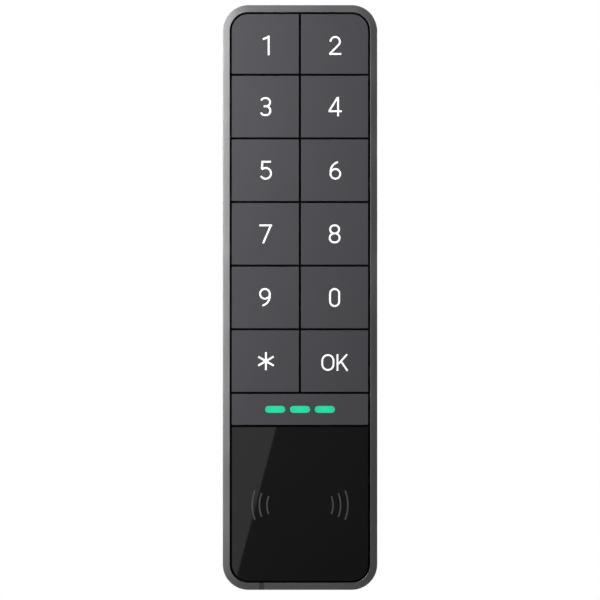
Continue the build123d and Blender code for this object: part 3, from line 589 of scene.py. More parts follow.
@dataclass(frozen=True)
class DrawnLines(Effect):
    """Fine lines that run up the piece, as a drawing die or a brush leaves them."""

    name: str = "drawn_lines"
    takes: tuple = (("Count", "NodeSocketFloat", 120.0),)
    gives: tuple = ("Height",)

    def wire(self, board: Board, source: Node) -> list[Socket]:
        """Stretches a fine cloud along the piece."""
        long_point = board.stretch(source.outputs["Point"], (40.0, 40.0, 1.0))
        return [board.noise(long_point, source.outputs["Count"], 2.0, 0.6)]


GRAIN, SMUDGES, EDGE_WEAR_AND_HIGHLIGHT, DUST, DRAWN = Grain(), Smudges(), EdgeWearAndHighlight(), Dust(), DrawnLines()


# ---------------------------------------------------------------- finishes


def rgba(colour: Rgb) -> tuple[float, float, float, float]:
    """Returns a colour with full opacity."""
    return (*colour, 1.0)


def toned(colour: Rgb, factor: float) -> tuple[float, float, float, float]:
    """Returns a colour made lighter or darker by a factor, with full opacity."""
    return rgba(tuple(min(1.0, part * factor) for part in colour))


@dataclass(frozen=True)
class Finish:
    """What every finish has: a name, a colour and a sheen."""

    name: str
    colour: Rgb
    roughness: float = 0.5

    def make(self) -> Material:
        """Returns the finish's material, which is built on first use.

        Returns:
            A material with one Principled shader.
        """
        title = f"{self.name}_finish"
        found = bpy.data.materials.get(title)
        if found:
            return found
        material = bpy.data.materials.new(title)
        material.use_nodes = True
        material.node_tree.nodes.clear()
        board = Board(material.node_tree)
        shader = board.place("ShaderNodeBsdfPrincipled")
        board.place("ShaderNodeOutputMaterial", {"Surface": shader.outputs[0]})
        self.wire(board, shader, board.object_point())
        return material

    def wire(self, board: Board, shader: Node, point: Socket) -> None:
        """Wires the shader's inputs; each finish has its own."""
        raise NotImplementedError

    @staticmethod
    def set(shader: Node, **values: Any) -> None:
        """Sets even values on the shader's own sockets, with _ for a blank in a socket's name."""
        for name, value in values.items():
            shader.inputs[name.replace("_", " ")].default_value = value

    @staticmethod
    def link(board: Board, shader: Node, **sources: Socket) -> None:
        """Joins changing values to the shader's sockets, with _ for a blank in a socket's name."""
        for name, source in sources.items():
            board.tree.links.new(source, shader.inputs[name.replace("_", " ")])


@dataclass(frozen=True)
class MouldedPlastic(Finish):
    """Pebbled, lightly handled plastic with paler rubbed edges and a little dust."""

    grain_count: float = 4200.0
    grain_depth: float = 0.000012
    grain_strength: float = 0.35
    tone_swing: float = 0.07
    sheen_swing: float = 0.10
    worn: float = 0.25
    worn_tone: float = 2.2
    dusty: float = 0.12
    gloss: float = 0.5

    def wire(self, board: Board, shader: Node, point: Socket) -> None:
        """Wires grain, tone, smudges, edge wear and dust."""
        grain = GRAIN.on(board, point, Count=self.grain_count)
        edge = EDGE_WEAR_AND_HIGHLIGHT.mask(board, point, self.worn)
        dust = DUST.mask(board, point, self.dusty)
        smudge = SMUDGES.on(board, point).outputs["Mask"]
        dark, pale = toned(self.colour, 1 - self.tone_swing), toned(self.colour, 1 + self.tone_swing)
        base = board.blend(grain.outputs["Tone"], dark, pale)
        rubbed = board.blend(edge, base, toned(self.colour, self.worn_tone))
        dusted = board.blend(dust, rubbed, DUST_COLOUR)
        low, high = self.roughness - self.sheen_swing, self.roughness + self.sheen_swing
        sheen = board.remap(board.maths("SUBTRACT", grain.outputs["Tone"], smudge), -0.4, 0.8, low, high)
        normal = board.bump(grain.outputs["Height"], self.grain_strength, self.grain_depth)
        self.set(shader, Specular_IOR_Level=self.gloss)
        self.link(board, shader, Base_Color=dusted, Roughness=sheen, Normal=normal)


@dataclass(frozen=True)
class BlastedMetal(Finish):
    """Anodised metal with a fine front rim, blasted sides and edges paled by wear and a painted highlight."""

    worn_and_highlit_edge_tone: float = 1.35
    worn: float = 0.5
    blast_strength: float = 0.16
    side_sheen: float = 0.26
    rim_end: float = -24.6 * MM
    rim_fade: float = 0.4 * MM

    def wire(self, board: Board, shader: Node, point: Socket) -> None:
        """Wires blasted grain over drawn lines, smudges in the sheen, duller sides, and edges paled by wear
        and a painted highlight.
        """
        grain = GRAIN.on(board, point, Count=9000.0, **{"Slow Count": 25.0})
        lines = DRAWN.on(board, point).outputs["Height"]
        edge = EDGE_WEAR_AND_HIGHLIGHT.mask(board, point, self.worn, Reach=0.0002)
        smudge = SMUDGES.on(board, point, Count=45.0).outputs["Mask"]
        base = board.blend(grain.outputs["Tone"], toned(self.colour, 0.95), toned(self.colour, 1.05))
        # paler edges: partly rubbed wear, partly a painted highlight along the frame's edges
        rubbed = board.blend(edge, base, toned(self.colour, self.worn_and_highlit_edge_tone))
        depth = board.place("ShaderNodeSeparateXYZ", {"Vector": point}).outputs["Y"]
        side = board.remap(depth, self.rim_end, self.rim_end + self.rim_fade, 0.0, self.side_sheen)
        sheen = board.maths("ADD", board.remap(smudge, 0.0, 1.0, self.roughness, self.roughness + 0.08), side)
        height = board.maths("ADD", grain.outputs["Height"], board.maths("MULTIPLY", lines, 0.5))
        normal = board.bump(height, self.blast_strength, 0.000008)
        self.set(shader, Metallic=1.0)
        self.link(board, shader, Base_Color=rubbed, Roughness=sheen, Normal=normal)


@dataclass(frozen=True)
class DarkWindow(Finish):
    """Gloss black window plastic with a trace of waviness, smears and hairline marks."""

    dusty: float = 0.08
    dust_colour: Rgb = (0.40, 0.40, 0.40)
    smeared: float = 0.012

    def wire(self, board: Board, shader: Node, point: Socket) -> None:
        """Wires smears in the sheen, hairline marks and a slow wave of the surface."""
        smudge = SMUDGES.on(board, point, Count=50.0).outputs["Mask"]
        hairs = board.cells(board.stretch(point, (1.0, 1.0, 0.08)), 2600.0, "DISTANCE_TO_EDGE")
        hair = board.remap(hairs, 0.0, 0.02, 0.02, 0.0)
        smeared = board.remap(smudge, 0.0, 1.0, self.roughness, self.roughness + self.smeared)
        sheen = board.maths("ADD", smeared, hair)
        tone = board.blend(board.noise(point, 30.0, 2.0), toned(self.colour, 0.9), toned(self.colour, 1.1))
        dust = DUST.mask(board, point, self.dusty)
        base = board.blend(dust, tone, rgba(self.dust_colour))
        normal = board.bump(board.noise(point, 35.0, 1.0), 0.05, 0.00002)
        self.set(shader, Specular_IOR_Level=0.5, Coat_Weight=0.0)
        self.link(board, shader, Base_Color=base, Roughness=sheen, Normal=normal)


@dataclass(frozen=True)
class GlowingPrint(Finish):
    """Printed mark that lets some light through, uneven as ink on grain is."""

    glow: float = 0.6
    spread: float = 0.06

    def wire(self, board: Board, shader: Node, point: Socket) -> None:
        """Wires an uneven ink film in colour, glow and sheen."""
        film = board.noise(point, 2500.0, 3.0, 0.6)
        thin = toned(self.colour, 1 - self.spread)
        ink = board.blend(film, thin, rgba(self.colour))
        sheen = board.remap(film, 0.3, 0.7, self.roughness - 0.08, self.roughness + 0.08)
        self.set(shader, Emission_Strength=self.glow)
        self.link(
            board, shader, Base_Color=ink, Emission_Color=ink, Roughness=sheen,
            Normal=board.bump(film, 0.2, 0.000004),
        )


@dataclass(frozen=True)
class LitPipe(Finish):
    """Coloured light pipe, brightest over its lamp and frosted at its end face."""

    glow: float = 0.9
    pitch: float = 0.0082

    def wire(self, board: Board, shader: Node, point: Socket) -> None:
        """Wires a glow that falls off from the middle of each pipe, with fine frosting."""
        parts = board.place("ShaderNodeSeparateXYZ", {0: point})
        along = board.maths("DIVIDE", parts.outputs["X"], self.pitch)
        aside = board.maths("ABSOLUTE", board.maths("SUBTRACT", along, board.maths("ROUND", along)))
        falloff = board.remap(aside, 0.0, 0.42, 1.0, 0.86)
        frost = board.noise(point, 3500.0, 3.0, 0.6)
        level = board.maths("MULTIPLY", falloff, board.remap(frost, 0.3, 0.7, 0.96, 1.0))
        light = board.blend(level, (0.0, 0.0, 0.0, 1.0), rgba(self.colour))
        body = board.blend(frost, toned(self.colour, 0.35), toned(self.colour, 0.45))
        self.set(shader, Emission_Strength=self.glow)
        self.link(
            board, shader, Base_Color=body, Emission_Color=light,
            Roughness=board.remap(frost, 0.3, 0.7, self.roughness - 0.05, self.roughness + 0.05),
            Normal=board.bump(frost, 0.15, 0.00001),
        )


@dataclass(frozen=True)
class BoardLacquer(Finish):
    """Circuit board: lacquer over a pattern of tracks, with bare plated dots and a woven core under it."""

    pad: Rgb = (0.55, 0.50, 0.32)

    def wire(self, board: Board, shader: Node, point: Socket) -> None:
        """Wires tracks, plated dots and the weave, in colour, sheen and height."""
        quarter = (math.pi / 2, 0.0, 0.0)
        flat = board.place("ShaderNodeMapping", {0: point, 2: quarter}, vector_type="POINT").outputs[0]
        layout = {"Scale": 420.0, "Mortar Size": 0.012, "Brick Width": 1.3, "Row Height": 0.35}
        tracks = board.place("ShaderNodeTexBrick", {"Vector": flat, **layout}).outputs[1]
        dots = board.remap(board.cells(flat, 330.0), 0.10, 0.14, 1.0, 0.0)
        sparse = board.remap(board.noise(point, 140.0, 1.0), 0.52, 0.56, 0.0, 1.0)
        plated = board.maths("MULTIPLY", dots, sparse)
        weave = board.place("ShaderNodeTexChecker", {0: flat, 3: 2600.0}).outputs[1]
        tone = board.blend(weave, toned(self.colour, 0.92), toned(self.colour, 1.06))
        lacquer = board.blend(board.maths("MULTIPLY", tracks, 0.8), tone, toned(self.colour, 1.9))
        base = board.blend(plated, lacquer, rgba(self.pad))
        low, high = self.roughness - 0.08, self.roughness + 0.08
        height = board.maths("ADD", tracks, board.maths("MULTIPLY", weave, 0.1))
        self.link(
            board, shader, Base_Color=base, Metallic=board.maths("MULTIPLY", plated, 0.9),
            Roughness=board.remap(board.noise(point, 300.0, 2.0), 0.3, 0.7, low, high),
            Normal=board.bump(height, 0.3, 0.00002),
        )


@dataclass(frozen=True)
class TurnedMetal(Finish):
    """Bare metal with tool lines, brighter edges and dull patches."""

    line_strength: float = 0.25
    worn: float = 0.5

    def wire(self, board: Board, shader: Node, point: Socket) -> None:
        """Wires tool lines, tarnish and rubbed edges."""
        lines = DRAWN.on(board, point, Count=260.0).outputs["Height"]
        tarnish = board.noise(point, 450.0, 4.0, 0.6)
        edge = EDGE_WEAR_AND_HIGHLIGHT.mask(board, point, self.worn, Reach=0.00015)
        base = board.blend(tarnish, toned(self.colour, 0.8), toned(self.colour, 1.05))
        bright = board.blend(edge, base, toned(self.colour, 1.4))
        low, high = self.roughness - 0.08, self.roughness + 0.14
        self.set(shader, Metallic=1.0)
        self.link(
            board, shader, Base_Color=bright, Roughness=board.remap(tarnish, 0.3, 0.7, low, high),
            Normal=board.bump(lines, self.line_strength, 0.00001),
        )


@dataclass(frozen=True)
class SoftCompound(Finish):
    """Rubber or silicone: matt, faintly mottled, with bloom on its edges and a soft sheen."""

    sheen: float = 0.2
    through: float = 0.0
    bloom: float = 0.35

    def wire(self, board: Board, shader: Node, point: Socket) -> None:
        """Wires mottling, bloom and a soft skin."""
        grain = GRAIN.on(board, point, Count=2600.0, **{"Slow Count": 180.0})
        bloom = EDGE_WEAR_AND_HIGHLIGHT.mask(board, point, self.bloom, Reach=0.0004)
        base = board.blend(grain.outputs["Tone"], toned(self.colour, 0.85), toned(self.colour, 1.15))
        bloomed = board.blend(bloom, base, toned(self.colour, 1.8))
        low, high = self.roughness - 0.06, self.roughness + 0.06
        self.set(shader, Sheen_Weight=self.sheen, Transmission_Weight=self.through)
        self.link(
            board, shader, Base_Color=bloomed,
            Roughness=board.remap(grain.outputs["Tone"], 0.3, 0.7, low, high),
            Normal=board.bump(grain.outputs["Height"], 0.4, 0.00003),
        )


@dataclass(frozen=True)
class ClearSheet(Finish):
    """Clear or tinted sheet with a pattern of fine dots and a few scuffs."""

    through: float = 0.85
    dot_count: float = 1400.0

    def wire(self, board: Board, shader: Node, point: Socket) -> None:
        """Wires the dots and the scuffs."""
        dots = board.remap(board.cells(point, self.dot_count), 0.2, 0.35, 1.0, 0.0)
        scuff = SMUDGES.on(board, point, Count=120.0).outputs["Mask"]
        base = board.blend(board.maths("MULTIPLY", dots, 0.3), rgba(self.colour), toned(self.colour, 0.7))
        sheen = board.maths("ADD", board.maths("MULTIPLY", dots, 0.2), board.maths("MULTIPLY", scuff, 0.3))
        rough = board.remap(sheen, 0.0, 0.5, self.roughness, self.roughness + 0.4)
        self.set(shader, Transmission_Weight=self.through, IOR=1.49)
        self.link(board, shader, Base_Color=base, Roughness=rough, Normal=board.bump(dots, 0.2, 0.00001))


@dataclass(frozen=True)
class SinteredPowder(Finish):
    """Pressed dark powder with glinting specks."""

    speck: Rgb = (0.30, 0.30, 0.31)

    def wire(self, board: Board, shader: Node, point: Socket) -> None:
        """Wires specks of a second tone in colour, sheen and height."""
        grain = GRAIN.on(board, point, Count=5200.0, **{"Slow Count": 90.0})
        glint = board.remap(board.cells(point, 4200.0), 0.10, 0.16, 0.6, 0.0)
        base = board.blend(grain.outputs["Tone"], toned(self.colour, 0.8), toned(self.colour, 1.2))
        flecked = board.blend(glint, base, rgba(self.speck))
        rough = board.remap(glint, 0.0, 0.6, self.roughness, self.roughness - 0.2)
        self.link(
            board, shader, Base_Color=flecked, Roughness=rough,
            Normal=board.bump(grain.outputs["Height"], 0.4, 0.00002),
        )


# the finishes of this reader, named for what they are on
KEY_SKIN = MouldedPlastic(
    "key_skin", (0.088, 0.0855, 0.0965), 0.5, grain_count=7000.0, grain_depth=0.000006, grain_strength=0.2,
    tone_swing=0.03, sheen_swing=0.05, worn=0.10, worn_tone=1.6, dusty=0.06,
)
FRAME_METAL = BlastedMetal("frame_metal", (0.53, 0.53, 0.54), 0.37)
BREAK_PLASTIC = MouldedPlastic("break_plastic", (0.068, 0.068, 0.070), 0.5, worn=0.1)
BRACKET_PLASTIC = MouldedPlastic("bracket_plastic", (0.050, 0.051, 0.054), 0.55, grain_count=3200.0)
COVER_PLASTIC = MouldedPlastic("cover_plastic", (0.036, 0.037, 0.039), 0.5, grain_count=3600.0)
# near black: the carrier's own black plastic made darker still, as painted shade in the gaps round the keys
CARRIER_PLASTIC_AND_GAP_SHADE = MouldedPlastic(
    "carrier_plastic", (0.0045, 0.0045, 0.005), 0.6, worn=0.0, dusty=0.0, gloss=0.25,
)
WINDOW_PLASTIC = DarkWindow("window_plastic", (0.0140, 0.0140, 0.0146), 0.012)
LEGEND_PRINT = GlowingPrint("legend_print", (0.90, 0.90, 0.92), 0.5, glow=0.68)
MARK_PRINT = GlowingPrint("mark_print", (0.115, 0.115, 0.118), 0.45, glow=0.0, spread=0.15)
STATUS_LIGHT = LitPipe("status_light", (0.016, 0.658, 0.337), 0.35)
SEAL_RUBBER = SoftCompound("seal_rubber", (0.016, 0.016, 0.017), 0.75)
KEYPAD_SILICONE = SoftCompound("keypad_silicone", (0.52, 0.53, 0.53), 0.6, through=0.15)
GUIDE_SHEET = ClearSheet("guide_sheet", (0.90, 0.93, 0.95), 0.08)
BONDING_FILM = ClearSheet("bonding_film", (0.07, 0.065, 0.055), 0.35, through=0.1, dot_count=3000.0)
BOARD_GREEN = BoardLacquer("board_green", (0.010, 0.105, 0.040), 0.32)
CHIP_BLACK = MouldedPlastic(
    "chip_black", (0.014, 0.014, 0.015), 0.45, grain_count=8000.0, worn=0.35, dusty=0.02,
)
LAMP_WHITE = MouldedPlastic("lamp_white", (0.72, 0.72, 0.66), 0.35, grain_count=6000.0, worn=0.0)
PASSIVE_TAN = MouldedPlastic(
    "passive_tan", (0.33, 0.21, 0.11), 0.4, grain_count=9000.0, worn=0.7, worn_tone=2.0,
)
RELAY_PLASTIC = MouldedPlastic("relay_plastic", (0.022, 0.055, 0.16), 0.4, grain_count=5200.0)
TERMINAL_GREEN = MouldedPlastic("terminal_green", (0.015, 0.20, 0.065), 0.42, grain_count=4600.0)
PLUNGER_PLASTIC = MouldedPlastic("plunger_plastic", (0.62, 0.61, 0.57), 0.4, grain_count=5000.0, worn=0.0)
SCREW_STEEL = TurnedMetal("screw_steel", (0.52, 0.52, 0.51), 0.32)
CAN_METAL = TurnedMetal("can_metal", (0.66, 0.67, 0.68), 0.26, line_strength=0.12)
INSERT_BRASS = TurnedMetal("insert_brass", (0.70, 0.50, 0.21), 0.32)
COIL_COPPER = TurnedMetal("coil_copper", (0.78, 0.36, 0.19), 0.3, line_strength=0.15)
FERRITE_SHEET = SinteredPowder("ferrite_sheet", (0.035, 0.034, 0.034), 0.65)

FINISHED_NODES: tuple[tuple[Finish, tuple[str, ...]], ...] = (
    (BRACKET_PLASTIC, ("wall_bracket",)),
    (INSERT_BRASS, ("lock_screw_insert",)),
    (
        SCREW_STEEL,
        ("lock_screw", "cover_screws", "snap_domes", "board_screws", "terminal_screws", "tamper_spring"),
    ),
    (COVER_PLASTIC, ("rear_cover",)),
    (SEAL_RUBBER, ("rear_seal", "wiring_gasket", "vent_plug")),
    (CARRIER_PLASTIC_AND_GAP_SHADE, ("front_carrier",)),
    (BONDING_FILM, ("window_adhesive",)),
    (BOARD_GREEN, ("antenna_board", "main_board")),
    (COIL_COPPER, ("antenna_coil",)),
    (FERRITE_SHEET, ("ferrite_sheet",)),
    (CHIP_BLACK, ("antenna_header", "controller_chip", "reader_chip", "buzzer", "tamper_switch")),
    (KEYPAD_SILICONE, ("keypad_membrane",)),
    (GUIDE_SHEET, ("backlight_guide",)),
    (LAMP_WHITE, ("key_leds", "status_leds")),
    (CAN_METAL, ("crystal", "power_capacitor")),
    (RELAY_PLASTIC, ("relay",)),
    (PASSIVE_TAN, ("board_passives",)),
    (TERMINAL_GREEN, ("terminal_block",)),
    (PLUNGER_PLASTIC, ("tamper_plunger",)),
)


# ---------------------------------------------------------------- the metal frame


@dataclass
class MetalFrame:
    """Ring of blasted metal with a ledge inside, a notch for the lock screw and an insulating break."""

    corner_radius: float = 8.45 * MM
    rim: float = 2.3 * MM
    rim_fall: float = 0.16 * MM
    front_edge: float = 0.15 * MM
    inner_edge: float = 0.04 * MM
    rear_edge: float = 0.3 * MM
    ledge_reach: float = 1.1 * MM
    ledge_rear: float = 18.9 * MM
    ledge_front: float = 20.4 * MM
    lock_level: float = 2.9 * MM
    notch_shank: float = 1.55 * MM
    notch_head: float = 2.7 * MM
    notch_head_depth: float = 1.2 * MM
    room: Extent = field(default_factory=lambda: Extent.of("outer_frame"))
    break_room: Extent = field(default_factory=lambda: Extent.of("antenna_break"))

    def build(self) -> None:
        """Makes the ring, cuts its notch and parts it from its insert."""
        ring = self.ring()
        self.soften(ring)
        self.add_ledge(ring)
        stand_up(ring)
        for half, deep in ((self.notch_shank, 2 * self.rim), (self.notch_head, self.notch_head_depth)):
            combine(ring, self.notch(half, deep), Combine.CUT)
        insert = copy_of(ring, "frame_insert")
        slice_tool = self.break_slice()
        combine(insert, slice_tool, Combine.KEEP, keep_tool=True)
        combine(ring, slice_tool, Combine.CUT)
        for piece in (ring, insert):
            settle(piece)
        hand_over(ring, "reader", FRAME_METAL.make(), ("outer_frame",))
        hand_over(insert, "reader", BREAK_PLASTIC.make(), ("antenna_break",))

    def ring(self) -> Piece:
        """Returns the plain ring, with a front that falls outward."""
        piece = lay_sheet("metal_frame", self.room, self.room.front, all_round(self.corner_radius))
        with editing(piece):
            pick_all()
            bpy.ops.mesh.inset(thickness=self.rim)
            bpy.ops.mesh.delete(type="ONLY_FACE")
            pick_all()
            pull(z=self.room.rear - self.room.front)
            merge_and_face_out()
            pick(
                piece,
                Pick.CORNER,
                lambda vert: abs(vert.co.z - self.room.front) < NEAR and self.is_outer(vert.co),
            )
            bpy.ops.transform.translate(value=(0.0, 0.0, -self.rim_fall))
        return piece

    def is_outer(self, place: Vector) -> bool:
        """Says whether a place on the ring lies on its outer wall and not on its inner one."""
        half_w, half_h = self.room.width / 2, self.room.height / 2
        straight_x, straight_y = half_w - self.corner_radius, half_h - self.corner_radius
        over_x, over_y = max(0.0, abs(place.x) - straight_x), max(0.0, abs(place.y) - straight_y)
        return self.corner_radius - math.hypot(over_x, over_y) < self.rim / 2

    def soften(self, piece: Piece) -> None:
        """Rounds the ring's front and rear edges."""
        cuts = (
            (self.room.front - self.rim_fall, True, self.front_edge),
            (self.room.front, False, self.inner_edge),
            (self.room.rear, True, self.rear_edge),
        )
        for level, outer, size in cuts:
            with editing(piece):
                pick(
                    piece,
                    Pick.EDGE,
                    lambda edge: all(
                        abs(vert.co.z - level) < NEAR and self.is_outer(vert.co) == outer
                        for vert in edge.verts
                    ),
                )
                bpy.ops.mesh.bevel(offset=size, segments=3, affect="EDGES", profile=0.5)

    def add_ledge(self, piece: Piece) -> None:
        """Parts the inner wall at the ledge's two levels and pulls the strip between them inward."""
        with editing(piece):
            for level in (self.ledge_rear, self.ledge_front):
                self.pick_inner_wall(piece)
                bpy.ops.mesh.bisect(plane_co=(0.0, 0.0, level), plane_no=(0.0, 0.0, 1.0))
            self.pick_inner_wall(piece, self.ledge_rear, self.ledge_front)
            bpy.ops.mesh.extrude_region_shrink_fatten(
                TRANSFORM_OT_shrink_fatten={"value": -self.ledge_reach, "use_even_offset": True}
            )

    def pick_inner_wall(self, piece: Piece, low: float = 0.0, high: float = 1.0) -> None:
        """Selects the upright faces of the inner wall between two levels."""
        pick(
            piece,
            Pick.FACE,
            lambda face: abs(face.normal.z) < 0.1
            and not self.is_outer(face.calc_center_median())
            and low < face.calc_center_median().z < high,
        )

    def notch(self, half: float, deep: float) -> Piece:
        """Returns an upright tool with a round end that cuts the lock's notch into the bottom wall."""
        past = 2 * MM
        area = Extent(-half, half, -self.lock_level - half, past)
        round_end = {Corner.BOTTOM_LEFT: half * 0.998, Corner.BOTTOM_RIGHT: half * 0.998}
        low = self.room.bottom - past
        return lay_plate("notch_tool", area, low, self.room.bottom + deep, round_end)

    def break_slice(self) -> Piece:
        """Returns an upright tool that takes in the break's slice of the bottom wall."""
        room = self.break_room
        spare = 4 * MM
        area = Extent(room.left, room.right, -room.front - spare, spare)
        return lay_plate("slice_tool", area, room.bottom - spare, self.room.bottom + self.rim + spare, {})


# ---------------------------------------------------------------- keys


@dataclass
class Keypad:
    """Twelve keys, each a thin hollow cap on a guided stem with two hooks and a round post."""

    rows: tuple[tuple[str, str], ...] = (
        ("1", "2"), ("3", "4"), ("5", "6"), ("7", "8"), ("9", "0"), ("star", "ok"),
    )
    cap_thickness: float = 2.2 * MM
    cap_wall: float = 1.4 * MM
    cap_hollow: float = 0.9 * MM
    edge: float = 0.08 * MM
    soft_corner: float = 0.2 * MM
    face_corner: float = 5.45 * MM
    stem_width: float = 13.0 * MM
    stem_height: float = 11.0 * MM
    stem_corner: float = 1.0 * MM
    hook_width: float = 4.0 * MM
    hook_reach: float = 0.75 * MM
    hook_thickness: float = 0.8 * MM
    stem_drop: float = 0.45 * MM
    post_radius: float = 3.6 * MM
    post_edge: float = 0.2 * MM
    overlap: float = 0.3 * MM

    def build(self) -> None:
        """Models the two top keys, then one plain key that is copied to the other ten places."""
        pattern: Optional[Piece] = None
        pattern_room = Extent.of("key_3")
        for row, labels in enumerate(self.rows):
            for column, label in enumerate(labels):
                node = f"key_{label}"
                room = Extent.of(node)
                if row == 0:
                    big = Corner.TOP_LEFT if column == 0 else Corner.TOP_RIGHT
                    radii = {**all_round(self.soft_corner), big: self.face_corner}
                    key = self.model(f"{node}_cap", room, radii)
                else:
                    if pattern is None:
                        pattern = self.model("key_pattern", pattern_room, all_round(self.soft_corner))
                    key = copy_of(pattern, f"{node}_cap")
                    shift(key, room.mid_x - pattern_room.mid_x, room.mid_up - pattern_room.mid_up)
                stand_up(key)
                settle(key)
                hand_over(key, node, KEY_SKIN.make(), (node,))
        if pattern:
            discard(pattern)

    def model(self, name: str, room: Extent, radii: dict[Corner, float]) -> Piece:
        """Models one key lying on its back.

        Args:
            name: The key's name.
            room: The room that the key fills.
            radii: The radius of each corner of its cap.

        Returns:
            The key, closed and merged.
        """
        cap_rear = room.front - self.cap_thickness
        key = lay_plate(name, room, cap_rear, room.front, radii)
        soften_rim(key, room.front, self.edge)
        combine(key, self.hollow(room, cap_rear, radii), Combine.CUT)
        combine(key, self.stem(room, cap_rear + self.cap_hollow + self.overlap), Combine.ADD)
        combine(key, self.post(room), Combine.ADD)
        return key

    def hollow(self, room: Extent, cap_rear: float, radii: dict[Corner, float]) -> Piece:
        """Returns the tool that hollows the cap's underside and leaves its wall."""
        wide = room.width - 2 * self.cap_wall
        tall = room.height - 2 * self.cap_wall
        area = Extent.round_point(room.mid_x, room.mid_up, wide, tall)
        inner = {corner: max(self.soft_corner, radius - self.cap_wall) for corner, radius in radii.items()}
        return lay_plate("hollow_tool", area, cap_rear - self.overlap, cap_rear + self.cap_hollow, inner)

    def stem(self, room: Extent, high: float) -> Piece:
        """Returns the guided stem with a hook pulled out of its upper and its lower side.

        Args:
            room: The room that the key fills.
            high: The level where the stem ends inside the cap.

        Returns:
            The stem, lying on its back.
        """
        low = room.rear + self.stem_drop
        hook_top = low + self.hook_thickness
        area = Extent.round_point(room.mid_x, room.mid_up, self.stem_width, self.stem_height)
        stem = lay_plate("stem", area, low, high, all_round(self.stem_corner))
        half = self.hook_width / 2
        cuts = (
            ((0.0, 0.0, hook_top), (0.0, 0.0, 1.0)),
            ((room.mid_x - half, 0.0, 0.0), (1.0, 0.0, 0.0)),
            ((room.mid_x + half, 0.0, 0.0), (1.0, 0.0, 0.0)),
        )
        for side in (-1, 1):
            with editing(stem):
                for place, normal in cuts:
                    pick(stem, Pick.FACE, lambda face: face.normal.y * side > 0.999)
                    bpy.ops.mesh.bisect(plane_co=place, plane_no=normal)
                pick(
                    stem,
                    Pick.FACE,
                    lambda face: face.normal.y * side > 0.999
                    and face.calc_center_median().z < hook_top
                    and abs(face.calc_center_median().x - room.mid_x) < half,
                )
                pull(y=side * self.hook_reach)
        return stem

    def post(self, room: Extent) -> Piece:
        """Returns the round post that presses the dome, with a softened end."""
        depth = self.stem_drop + self.overlap
        deselect_all()
        bpy.ops.mesh.primitive_cylinder_add(
            vertices=48,
            radius=self.post_radius,
            depth=depth,
            location=(room.mid_x, room.mid_up, room.rear + depth / 2),
        )
        post = bpy.context.object
        bpy.ops.object.transform_apply(location=True, rotation=False, scale=False)
        soften_rim(post, room.rear, self.post_edge, 2)
        return post


# ---------------------------------------------------------------- marks drawn with a pen


@dataclass(frozen=True)
class Run:
    """A straight move of the pen, in millimetres."""

    length: float


@dataclass(frozen=True)
class Bend:
    """A round move of the pen: its radius in millimetres and its turn in degrees, to the left if positive."""

    radius: float
    turn: float


@dataclass(frozen=True)
class Stroke:
    """One stroke from a start, with a heading in degrees from the right and the moves that follow."""

    x: float
    up: float
    heading: float
    moves: tuple[Union[Run, Bend], ...]

    def turned(self) -> "Stroke":
        """Returns the stroke turned half round about the middle of its mark."""
        return Stroke(-self.x, -self.up, self.heading + 180.0, self.moves)


def line(x: float, up: float, end_x: float, end_up: float) -> Stroke:
    """Returns a straight stroke between two points."""
    heading = math.degrees(math.atan2(end_up - up, end_x - x))
    return Stroke(x, up, heading, (Run(math.hypot(end_x - x, end_up - up)),))


@dataclass(frozen=True)
class Mark:
    """A mark made of strokes of one width, set off from the middle of its key, in millimetres."""

    strokes: tuple[Stroke, ...]
    width: float = 0.60
    x: float = 0.0
    up: float = 0.0


SIX = (
    Stroke(-1.45, -1.2, 90.0, (Bend(1.6, -360.0),)),
    Stroke(-1.45, -1.2, 90.0, (Run(0.7), Bend(3.3, -75.0))),
)
ROUND = (Run(0.15), Bend(1.33, 180.0), Run(0.3), Bend(1.33, 180.0), Run(0.15))
WIDE_ROUND = (Run(0.15), Bend(1.48, 180.0), Run(0.3), Bend(1.48, 180.0), Run(0.15))
TOP_DROP = -0.5

LEGENDS: dict[str, Mark] = {
    "0": Mark((Stroke(1.5, -1.31, 90.0, (Run(2.62), Bend(1.5, 180.0), Run(2.62), Bend(1.5, 180.0))),)),
    "1": Mark((Stroke(1.08, -3.2, 90.0, (Run(6.4),)), line(1.2, 2.87, -0.85, 2.05)), up=TOP_DROP),
    "2": Mark(
        (Stroke(-1.55, 1.26, 90.0, (Bend(1.55, -225.0), Run(3.97))), line(-2.0, -2.8, 2.0, -2.8)),
        x=0.2, up=TOP_DROP,
    ),
    "3": Mark((
        Stroke(-1.40, 2.03, 65.0, (Bend(1.355, -65.0), Run(0.35), Bend(1.355, -180.0), Run(0.75))),
        Stroke(-0.1, 0.1, 0.0, (Run(0.3), Bend(1.455, -180.0), Run(0.35), Bend(1.455, -65.0))),
    )),
    "4": Mark((
        Stroke(1.14, -3.2, 90.0, (Run(6.4),)),
        line(-2.0, -1.53, 2.35, -1.53),
        line(-1.72, -1.35, 0.98, 3.0),
    )),
    "5": Mark((
        line(-1.3, 2.8, 1.85, 2.8),
        line(-0.92, 3.1, -1.2, 0.35),
        Stroke(-1.19, 0.229, 45.0, (Bend(1.78, -287.0),)),
    )),
    "6": Mark(SIX, x=0.1),
    "7": Mark((line(-2.0, 2.8, 2.2, 2.8), line(1.85, 2.95, -0.75, -3.1))),
    "8": Mark((Stroke(0.0, 0.15, 0.0, ROUND), Stroke(0.0, -2.81, 0.0, WIDE_ROUND))),
    "9": Mark(tuple(stroke.turned() for stroke in SIX)),
    "star": Mark(
        (line(0.0, -2.95, 0.0, 2.95), line(-2.555, -1.475, 2.555, 1.475), line(2.555, -1.475, -2.555, 1.475)),
        0.62, 0.17,
    ),
    "ok": Mark(
        (
            Stroke(-0.37, -0.6, 90.0, (Run(1.2), Bend(1.85, 180.0), Run(1.2), Bend(1.85, 180.0))),
            line(0.94, -2.75, 0.94, 2.75),
            line(1.3, -0.45, 4.1, 2.7),
            line(2.15, 0.35, 4.25, -2.75),
        ),
        0.58, 0.0, -0.45,
    ),
}


